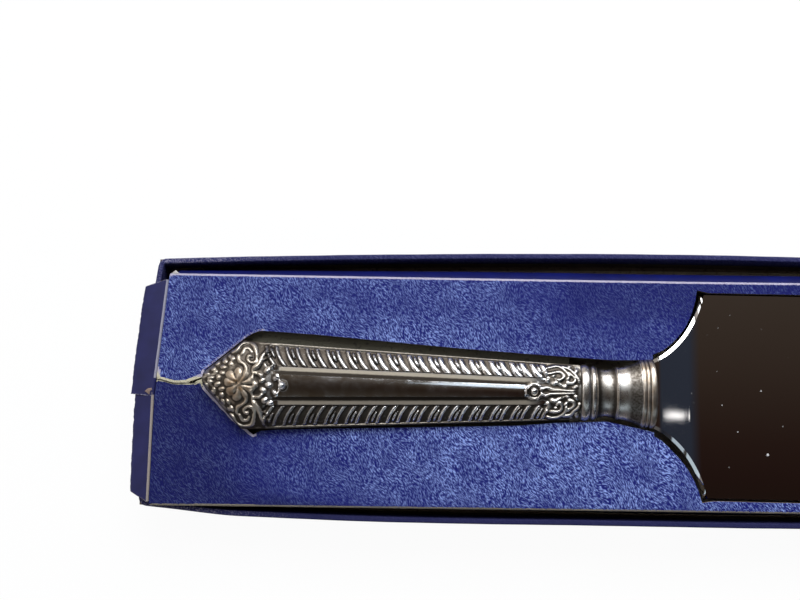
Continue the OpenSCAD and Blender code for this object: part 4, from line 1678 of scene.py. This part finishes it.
    def wear(self, sheet: CutSheet) -> Array:
        """Wear over the facing: along the folds, the tear and the near edge of the cut-out."""
        x, y = sheet.plan.T
        to_far, to_near, to_end = self.high[1] - y, y - self.low[1], self.high[0] - x
        far = self.far_fold_wear * (1.0 - smooth_step(0.55, 0.80, to_far))
        near = self.near_fold_wear * (1.0 - smooth_step(0.40, 0.65, to_near))
        end = self.end_fold_wear * (1.0 - smooth_step(0.45, 0.70, to_end))
        local = self.along_server(sheet.plan)
        cut = 1.0 - smooth_step(0.48, 0.80, sheet.edge_gap)
        by_point = (local[:, 1] < 0.8) & (local[:, 0] > -1.2) & (local[:, 0] < 14.5)
        far_point = (local[:, 1] > 0.8) & (local[:, 0] > -1.2) & (local[:, 0] < 16) & (to_far > 3)
        line = self.tear_line(x)
        far_lip = (x < self.tip[0]) & (y > line - 0.4) & (y < line + 3.0)
        point = np.where(far_point, self.far_point_wear, 0.0)
        edge = cut * np.where(by_point, self.near_point_wear, point)
        bare = 1.0 - smooth_step(0.62, 0.95, sheet.edge_gap)
        lip = self.lip_wear * far_lip * bare * (local[:, 0] < -0.4)
        off_x, off_y = x - self.tip[0] - self.bruise[0], y - self.tip[1] - self.bruise[1]
        bruise = self.bruise_wear * np.exp(-(off_x / 1.0) ** 2 - (off_y / 1.1) ** 2)
        off_corner = ((x - self.low[0] - 2.9) / 0.8) ** 2 + (to_far / 0.9) ** 2
        corner = self.corner_wear * np.exp(-off_corner)
        return np.clip(np.max([far, near, end, edge, lip, bruise, corner], 0), 0.0, 1.2)

    def soil(self, plan: Array) -> Array:
        """How soiled bare fibre is: clean on the far fold, cream at the tear, grey-tan on the near fold."""
        x, y = plan.T
        tear = 0.5 * ((x < self.tip[0] - 0.6) & (np.abs(y - self.tear_line(x)) < 1.6))
        fold = 0.9 * (y - self.low[1] < 2.0)
        end = 0.9 * ((x - self.low[0] < 1.5) & (y < self.tear_line(x) - 1.6))
        return np.max([tear, fold, end], 0)

    def shade(self, plan: Array) -> Array:
        """Painted shade over the facing, which also weakens its painted sheen: darker away from the near
        right, lighter beside the handle, darker under the tear and along the near fold.
        """
        x, y = plan.T
        # Painted light and shade: falls off away from the near right.
        on_far = np.interp(x, [-150, -60, -35, 0], [0.50, 0.50, 0.88, 0.90])
        on_near = np.interp(x, [-150, -132, -92, -45, -10], [1.0, 0.97, 0.46, 0.04, 0.12])
        below = smooth_step(-0.2, 0.4, self.tear_line(x) - y)
        wide = on_far + (on_near - on_far) * np.where(x < self.tip[0], below, smooth_step(-4.0, 4.0, -y))
        # Painted light: lighter beside the handle.
        beside = np.clip(np.abs(y) - 12.0, 0, None)
        painted_light_by_handle = 0.22 * np.exp(-(beside / 5.0) ** 2) * smooth_step(-115.0, -95.0, x)
        # Painted shadow under the tear's far lip.
        drop = np.clip(self.tear_line(x) - y, 0, None)
        painted_shadow_under_tear = 0.4 * below * np.exp(-drop / 1.2) * (x < self.tip[0] + 2)
        # Painted shade along the near fold.
        fold = 0.45 * np.exp(-(y - self.low[1]) / 2.2)
        return np.clip(wide - painted_light_by_handle + painted_shadow_under_tear + fold, 0.0, 1.0)

    def sag(self, places: Array) -> Array:
        """How far the card lies below level: the near side of the tear dips and the card waves."""
        x, y = places.T
        reach = np.clip(1.0 - (x - self.low[0]) / 30.0, 0.0, 1.0)
        drop = self.tear_line(x) - y
        near_side = smooth_step(-0.1, 0.25, drop) * np.exp(-np.clip(drop, 0, None) / 9.0)
        wave = 0.05 * np.sin(x / 17.0) * np.sin(y / 9.0 + 0.6)
        return self.near_dip * reach * near_side + wave

    def build_sheets(self) -> None:
        """Makes the facing and the card below it."""
        sheet = CutSheet(self.cut_outline(), fine_spot=tuple(self.tip + np.array(self.bruise)))
        x, y = sheet.plan.T
        to_fold = np.minimum(np.minimum(self.high[1] - y, y - self.low[1]), self.high[0] - x)
        inward = np.clip(1.0 - to_fold / self.fold_r, 0.0, 1.0)
        fall = self.fold_r * (1.0 - np.sqrt(np.clip(1.0 - inward**2, 0.0, None)))
        lower = np.maximum(fall, self.sag(sheet.plan) * (to_fold > 0.5))
        top = self.high[2] - lower
        under = top - self.facing_t
        facing = sheet.solid(top, under, self.wear(sheet))
        # The shade mark carries the facing's painted shade and sheen.
        facing.marks[Mark.SHADE] = np.tile(self.shade(sheet.plan), 2)
        facing.marks[Mark.BLOOM] = np.tile(self.soil(sheet.plan), 2)
        facing.points = self.widened(facing.points)
        settle(facing.piece("insert_facing_sheet", FACING), Body.INSERT, Slot.LEATHERETTE, "insert_facing")
        base = np.minimum(self.base - self.sag(sheet.plan), under - 0.04)
        card = sheet.solid(under - 0.01, base, np.zeros(len(sheet.plan)))
        card.points = self.widened(card.points)
        settle(card.piece("insert_card", CARD), Body.INSERT, Slot.INSERT_CARD, "insert_panel")

    def far_leg(self) -> Draft:
        """The far leg: a card wall that springs out below its crease before it drops to the floor."""
        points = node_points("far_leg")
        low, high = points.min(0), points.max(0)
        wall = plan_outline("base_paper")
        wall = wall[wall[:, 1] > 20]
        wall = wall[np.argsort(wall[:, 0])]
        crease, card = self.high[1], self.high[2] - self.base
        stations, wear = [], []
        for x in np.linspace(low[0], high[0], 60):
            room = np.interp(x, *wall.T) - self.wall_t - crease
            spring = min(2.7, 0.50 * room)
            feet = points[(points[:, 2] < low[2] + 0.1) & (points[:, 1] > crease - 1.4)]
            foot = np.interp(x, *feet[np.argsort(feet[:, 0])][:, :2].T)
            top = self.base + 0.35
            path = curve_through([
                (crease - 0.1, top), (crease + 0.42 * spring, top - 1.3), (crease + 0.86 * spring, top - 3.2),
                (crease + spring, top - 6.0), (0.5 * (crease + spring + foot), 0.45 * top), (foot, low[2]),
            ], 4)
            outer = np.array(path)
            inner = outer - np.array([card, 0.0])
            inner[0, 1] -= 0.3
            ring = np.concatenate([outer, inner[::-1]])
            stations.append(np.column_stack([np.full(len(ring), x), ring]))
            wear.append([0.25 if k == 0 else 0.0 for k in range(len(ring))])
        draft = loft(np.array(stations))
        draft.marks[Mark.WEAR] = np.array(wear).reshape(-1)
        draft.points = self.widened(draft.points)
        return draft

    def shortened(self, points: Array) -> Array:
        """The near leg's points with its left end cut back from the dented corner of the tray."""
        out = points.copy()
        start = points[:, 0].min()
        out[:, 0] = np.maximum(points[:, 0], start + self.leg_cut * (points[:, 0] < start + 1.0))
        return out

    @staticmethod
    def scrap(name: str, plan: Sequence[Point], level: float, finish: Finish, body: Body) -> None:
        """A torn bit of paper, thicker in its middle.

        Args:
            name: Name of the piece.
            plan: Its outline in the plan.
            level: Height of its edge.
            finish: Its finish.
            body: The body it rides on.
        """
        rim = np.array(plan)
        middle = rim.mean(0)
        inner = middle + (rim - middle) * 0.45
        count = len(rim)
        rows = [(rim, level - 0.12), (rim, level), (inner, level + 0.14)]
        points = np.concatenate([np.column_stack([p, np.full(count, z)]) for p, z in rows])
        faces: list[Sequence[int]] = [list(range(count))[::-1], list(range(2 * count, 3 * count))]
        for first in (0, count):
            faces += band(range(first, first + count), range(first + count, first + 2 * count))
        draft = Draft(points, faces, {Mark.WEAR: np.ones(len(points)), Mark.BLOOM: np.full(len(points), 0.6)})
        settle(draft.piece(name, finish, 30), body, Slot.INSERT_CARD)

    def build(self) -> None:
        """Makes the sheets, the far leg, the flaps and the torn bits and finishes the other legs."""
        self.build_sheets()
        settle(self.far_leg().piece("far_leg_sprung", SHADED_LEG_PAPER), Body.INSERT, Slot.FLAP_PAPER, "far_leg")
        reshaped("near_leg", SHADED_LEG_PAPER, Body.INSERT, Slot.FLAP_PAPER, self.shortened)
        dress("right_leg", SHADED_LEG_PAPER)
        Flap(
            "left_flap_far", Body.FLAP_FAR, "far_flap_fold",
            dip=8.0, reach_back=0.80, mitre=1.3, worn_from=1.2,
        ).build()
        Flap(
            "left_flap_near", Body.FLAP_NEAR, "near_flap_fold",
            dip=12.0, reach_on=1.15, mitre=1.9, soil=0.8,
        ).build()
        self.scrap("scrap_pale", self.pale_scrap, 18.75, CARD_WHITE, Body.INSERT)
        self.scrap("scrap_brown", self.brown_scrap, 18.95, CARD_BROWN, Body.FLAP_FAR)


@dataclass
class Flap:
    """One half of the left flap: a card tongue that rolls over its crease."""

    node: str
    body: Body
    joint: str
    dip: float
    reach_back: float = 0.0
    reach_on: float = 0.0
    mitre: float = 1.1
    worn_from: float = -100.0
    soil: float = 0.0
    thickness: float = 1.15
    stations: int = 90
    rough: float = 0.10
    overhang: float = 0.35
    end_round: float = 0.25
    curl: float = 0.35
    edge_thin: float = 0.72
    crease_wear: float = 0.95
    rim_wear: float = 0.40
    end_wear: float = 0.55

    def __post_init__(self) -> None:
        """Takes the crease from the joint and the flap's reach from its node."""
        hinge = next(j for j in frame["joints"] if j["name"] == self.joint)
        self.pivot = np.array(hinge["pos_m"]) / MM
        self.axis = np.array(hinge["axis"])
        out = np.cross(self.axis, (0.0, 0.0, 1.0))
        out = out if out[0] < 0 else -out
        tilt = math.radians(self.dip)
        self.out = out * math.cos(tilt) - np.array([0, 0, math.sin(tilt)])
        self.up = np.cross(self.axis, self.out)
        self.up = self.up if self.up[2] > 0 else -self.up
        points = node_points(self.node) - self.pivot
        along, reach = points @ self.axis, points @ self.out
        self.start, self.end = along.min() - self.reach_back, along.max() + self.reach_on
        self.reach = reach.max()
        tip = reach > self.reach - 0.2
        self.tip_start = self.start if self.reach_back else along[tip].min() + self.mitre
        self.tip_end = self.end if self.reach_on else along[tip].max() - self.mitre

    def draft(self) -> Draft:
        """The flap as a closed, slightly curled sheet."""
        half = self.thickness / 2
        draws = np.random.default_rng(SEED + len(self.node)).normal(0, 1, (2, self.stations + 2))
        ragged = (draws[:, :-2] + draws[:, 1:-1] + draws[:, 2:]) / 3 * self.rough
        roll = [(half * math.cos(a), half * math.sin(a)) for a in np.linspace(-np.pi / 2, np.pi / 2, 9)]
        stations, wear = [], []
        for k in range(self.stations):
            u = k / (self.stations - 1)
            reach = self.reach + self.overhang + ragged[0, k] - self.end_round * (2 * u - 1) ** 4
            vs = np.array([0.0, 0.08, 0.2, 0.4, 0.6, 0.8, 0.93, 1.0]) * reach
            curl = self.curl * (vs / self.reach) ** 2
            thin = np.where(vs > reach - 0.3, self.edge_thin, 1.0) * half
            upper = [(-v, t - c) for v, t, c in zip(vs, thin, curl)]
            lower = [(-v, -t - c) for v, t, c in zip(vs, thin, curl)]
            section = [*roll, *upper, *lower[::-1]]
            share = np.array([max(0.0, -s[0]) for s in section]) / self.reach
            low = self.start + (self.tip_start - self.start) * share
            high = self.end + (self.tip_end - self.end) * share
            along = low + (high - low) * u
            stations.append([
                self.pivot + self.axis * a - self.out * s[0] + self.up * s[1] for a, s in zip(along, section)
            ])
            ends = 1.0 - smooth_step(0.0, 0.7, np.minimum(along - low, high - along))
            level = self.pivot[1] + self.axis[1] * along
            rolled = np.array([4 < i < len(roll) for i in range(len(section))])
            crease = self.crease_wear * rolled * (level > self.worn_from)
            rim = np.array([self.rim_wear if -s[0] > reach - 0.05 else 0.0 for s in section])
            wear.append(np.maximum(np.maximum(crease, rim), self.end_wear * ends))
        draft = loft(np.array(stations))
        draft.marks[Mark.WEAR] = np.array(wear).reshape(-1)
        draft.marks[Mark.BLOOM] = np.full(len(draft.points), self.soil)
        return draft

    def build(self) -> None:
        """Makes the flap and seats it on its own body."""
        piece = self.draft().piece(self.node + "_folded", FLAP, 50)
        settle(piece, self.body, Slot.FLAP_PAPER, self.node)


@dataclass
class Tray:
    """Board tray wrapped in leatherette, with the pads that carry the server."""

    paper_t: float = 0.25
    board_t: float = 1.0
    turn_in: float = 8.0
    rim_round: float = 0.42
    corner_round: float = 2.4
    near_dent: tuple[float, float] = (0.9, 0.45)
    far_dent: tuple[float, float] = (0.5, 0.0)
    dent_reach: float = 7.0
    far_bow: Point = (0.75, 0.40)
    near_bow: float = 0.95

    def __post_init__(self) -> None:
        """Takes the rim's height from the frame."""
        self.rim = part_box("outer_wrap")[1].z / MM
        self.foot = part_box("outer_wrap")[0].z / MM
        self.wall = 2 * self.paper_t + self.board_t
        plan = plan_outline("base_paper")
        self.near_corner = plan[np.argmin(plan @ np.array([1.0, 2.0]))]
        self.far_corner = plan[np.argmin(plan @ np.array([1.0, -2.0]))]

    def dented(self, points: Array) -> Array:
        """Points of the tray as it has warped: left corners pushed in, long walls bowed out."""
        x, y = points[:, 0], points[:, 1]
        out = points.copy()
        for corner, dent in ((self.near_corner, self.near_dent), (self.far_corner, self.far_dent)):
            gap = np.linalg.norm(points[:, :2] - corner, axis=1)
            out[:, :2] += np.exp(-(gap / self.dent_reach) ** 2)[:, None] * np.array(dent)
        far = self.far_bow[0] - self.far_bow[1] * smooth_step(-20.0, 60.0, x)
        near = self.near_bow * smooth_step(-146.0, -126.0, x) * (1.0 - smooth_step(-105.0, -15.0, x))
        out[:, 1] += smooth_step(20.0, 28.0, y) * far - smooth_step(20.0, 28.0, -y) * near
        return out

    def path(self) -> tuple[Array, Array]:
        """Outer outline of the wrap with rounded corners, and its outward directions.

        Returns:
            Points and unit normals, in millimetres.
        """
        outline = plan_outline("base_paper")
        turn = np.roll(outline, -1, 0) - outline
        before = outline - np.roll(outline, 1, 0)
        bend = np.abs(np.degrees(np.arctan2(
            before[:, 0] * turn[:, 1] - before[:, 1] * turn[:, 0], (before * turn).sum(1))))
        for index in sorted(np.flatnonzero(bend > 30), reverse=True):
            outline = rounded_corner(outline, int(index), self.corner_round)
        outline = resampled(outline, 2.5)
        along = np.roll(outline, -1, 0) - np.roll(outline, 1, 0)
        normal = np.stack([along[:, 1], -along[:, 0]], -1)
        return outline, normal / np.linalg.norm(normal, axis=1, keepdims=True)

    def section(self) -> list[Point]:
        """Section of the wrap as depth behind the outer face and height: up, over the rim and down inside."""
        r, w = self.rim_round, self.wall
        over = [(r - r * math.cos(a), self.rim - r + r * math.sin(a)) for a in np.linspace(0, np.pi / 2, 6)]
        back = [(w - d, z) for d, z in over[::-1]]
        front = [(0.0, self.foot), (0.0, self.rim * 0.35), (0.0, self.rim * 0.7)]
        p, hem = self.paper_t, self.rim - self.turn_in
        inner = [(w, hem), (w - p, hem), (w - p, self.rim - p), (p, self.rim - p), (p, self.foot)]
        return [*front, *over, *back, *inner]

    def wrap(self) -> Draft:
        """The wrap as one closed ring."""
        outline, normal = self.path()
        section = self.section()
        s = np.linspace(0, 2 * np.pi, len(outline), endpoint=False)
        waver = 0.10 * np.sin(23 * s) + 0.07 * np.sin(57 * s + 1.0)
        stations = np.stack([
            np.column_stack([outline - normal * depth, z + waver * (z > self.rim - 1)])
            for depth, z in section
        ], 1)
        draft = loft(stations, ring=True)
        rim = np.array([0.36 if z > self.rim - 0.25 else 0.0 for _, z in section])
        corner = np.exp(-(gap_to_outline(outline, self.corners(outline)) / 3.0) ** 2)
        draft.marks[Mark.WEAR] = (rim[None, :] * corner[:, None]).reshape(-1)
        # Painted shade: the near wall is darker than the rest of the wrap, whose sheen the mark also dims.
        draft.marks[Mark.SHADE] = np.repeat(np.where(outline[:, 1] < -20, 0.85, 0.40), len(section))
        draft.points = self.dented(draft.points)
        return draft

    @staticmethod
    def corners(outline: Array) -> Array:
        """The four corners of an outline."""
        signs = [(-1, -1), (1, -1), (1, 1), (-1, 1)]
        return np.array([outline[np.argmax(outline @ np.array([sx, 2.0 * sy]))] for sx, sy in signs])

    def build(self) -> None:
        """Makes the wrap and finishes the rest of the tray."""
        piece = self.wrap().piece("tray_wrap", WRAP, 60)
        settle(piece, Body.TRAY, Slot.LEATHERETTE, "outer_wrap")
        for node, finish, slot in (
            ("base_paper", WRAP, Slot.LEATHERETTE),
            ("tray_board", CARD, Slot.GREYBOARD),
            ("corner_stays", TAPE, Slot.STAY_TAPE),
        ):
            reshaped(node, finish, Body.TRAY, slot, self.dented)
        for node, finish in (("floor_lining", LINING), ("handle_cradle", PAD), ("blade_rest", PAD)):
            dress(node, finish)


# Studio


@dataclass
class Lamp:
    """A soft rectangular lamp aimed at the middle of the object."""

    name: str
    place: tuple[float, float, float]
    size: tuple[float, float]
    watts: float
    colour: Colour

    def build(self) -> None:
        """Hangs the lamp."""
        light = bpy.data.lights.new(self.name, "AREA")
        light.shape = "RECTANGLE"
        light.size, light.size_y = self.size
        light.energy = self.watts
        light.color = self.colour
        lamp = bpy.data.objects.new(self.name, light)
        lamp.location = self.place
        lamp.rotation_euler = Vector(self.place).to_track_quat("Z", "Y").to_euler()
        bpy.context.scene.collection.objects.link(lamp)


@dataclass
class Studio:
    """Pale floor, soft lamps, a room that is dark overhead, and the camera."""

    floor_half: float = 6.0
    floor_gap: float = 0.00005
    camera_mm: tuple[float, float, float] = (-79.4, -7.1, 249.9)
    camera_turn: tuple[float, float, float] = (7.50, 0.74, 0.83)
    focal_px: float = 850.0
    image_w: int = 800
    sensor_mm: float = 36.0

    def build_floor(self) -> None:
        """Lays the floor just below the tray."""
        mesh = bpy.data.meshes.new("floor")
        e, z = self.floor_half, -self.floor_gap
        mesh.from_pydata([(-e, -e, z), (e, -e, z), (e, e, z), (-e, e, z)], [], [(0, 1, 2, 3)])
        mesh.materials.append(FLOOR.material())
        floor = bpy.data.objects.new("floor", mesh)
        bpy.context.scene.collection.objects.link(floor)

    def build_room(self) -> None:
        """Sets the room's light: pale on the far and left sides, dim to the right, brown overhead."""
        world = bpy.data.worlds.new("room")
        bpy.context.scene.world = world
        world.use_nodes = True
        sheet = NodeSheet(world.node_tree)
        parts = sheet.add("SeparateXYZ")
        sheet.put(parts, 0, sheet.add("TexCoord").outputs["Generated"])

        def along(axis: str, *stops: tuple[float, Colour]) -> Socket:
            """Colours along one axis of the view, from -1 to 1."""
            spread = sheet.add("MapRange")
            sheet.put(spread, "Value", parts.outputs[axis])
            sheet.put(spread, "From Min", -1.0)
            return sheet.ramp(spread.outputs["Result"], *[((spot + 1.0) / 2.0, tone) for spot, tone in stops])

        black, white = (0.0, 0.0, 0.0), (1.0, 1.0, 1.0)
        pale = along(
            "Z", (-0.2, (0.75, 0.74, 0.73)), (0.25, (0.66, 0.60, 0.56)), (0.50, (0.50, 0.45, 0.41)),
            (0.72, (0.22, 0.20, 0.165)), (0.90, (0.10, 0.080, 0.058)), (1.0, (0.035, 0.024, 0.017)),
        )
        low = along(
            "Z", (-0.2, (0.10, 0.11, 0.14)), (0.30, (0.070, 0.083, 0.125)), (0.65, (0.046, 0.055, 0.082)),
        )
        top = along(
            "Y", (-0.14, (0.026, 0.011, 0.009)), (-0.06, (0.040, 0.021, 0.016)),
            (0.02, (0.062, 0.042, 0.032)),
            (0.11, (0.078, 0.058, 0.045)), (0.17, (0.125, 0.120, 0.110)),
        )
        left = along(
            "X", (-0.62, (0.80, 0.74, 0.69)), (-0.40, (0.62, 0.56, 0.52)), (-0.24, (0.02, 0.016, 0.012)),
        )
        side = along("Y", (-0.8, (0.28, 0.29, 0.33)), (-0.1, (0.62, 0.62, 0.62)), (0.35, white))
        dim = sheet.blend(along("Z", (0.66, black), (0.86, white)), low, top)
        room = sheet.blend(along("X", (0.02, black), (0.28, white)), pale, dim)
        colour = sheet.blend(1.0, sheet.blend(1.0, room, left, "LIGHTEN"), side, "MULTIPLY")
        back = sheet.tree.nodes["Background"]
        sheet.put(back, "Color", colour)
        sheet.put(back, "Strength", 1.0)

    def build_camera(self) -> None:
        """Sets the camera where the photograph was taken from."""
        data = bpy.data.cameras.new("camera")
        data.sensor_width = self.sensor_mm
        data.lens = self.sensor_mm * self.focal_px / self.image_w
        data.clip_start = 0.01
        camera = bpy.data.objects.new("camera", data)
        camera.location = tuple(v * MM for v in self.camera_mm)
        camera.rotation_euler = Euler([math.radians(a) for a in self.camera_turn], "XYZ")
        bpy.context.scene.collection.objects.link(camera)
        bpy.context.scene.camera = camera

    def build(self) -> None:
        """Sets up the whole studio."""
        bpy.context.scene.view_settings.view_transform = "Standard"
        self.build_camera()
        self.build_floor()
        self.build_room()
        for lamp in (
            Lamp("far_window", (-0.02, 0.55, 0.65), (0.50, 0.42), 6.0, (0.94, 0.97, 1.0)),
            Lamp("skylight", (0.165, 0.37, 0.90), (0.22, 0.34), 0.30, (0.74, 0.87, 1.0)),
            Lamp("left_sky", (-0.48, 0.22, 0.78), (0.42, 0.28), 0.78, (0.88, 0.94, 1.0)),
            Lamp("right_window", (0.33, 0.56, 0.50), (0.40, 0.30), 2.2, (0.94, 0.97, 1.0)),
            Lamp("near_sky", (-0.16, -0.50, 0.75), (0.44, 0.22), 0.26, (0.70, 0.87, 1.0)),
            Lamp("near_right_sky", (0.28, -0.60, 0.68), (0.50, 0.26), 0.30, (0.70, 0.86, 1.0)),
            Lamp("small_lamp", (0.686, -0.035, 0.590), (0.007, 0.023), 0.0012, (1.0, 0.98, 0.97)),
        ):
            lamp.build()


def main() -> None:
    """Builds every sub-assembly in order."""
    logging.basicConfig(level=logging.INFO, format="%(name)s: %(message)s")
    lie = ServerFrame()
    Studio().build()
    Tray().build()
    Insert(lie).build()
    Blade(lie).build()
    Turnings(lie).build()
    HandleShells(lie).build()


if __name__ == "__main__":
    main()
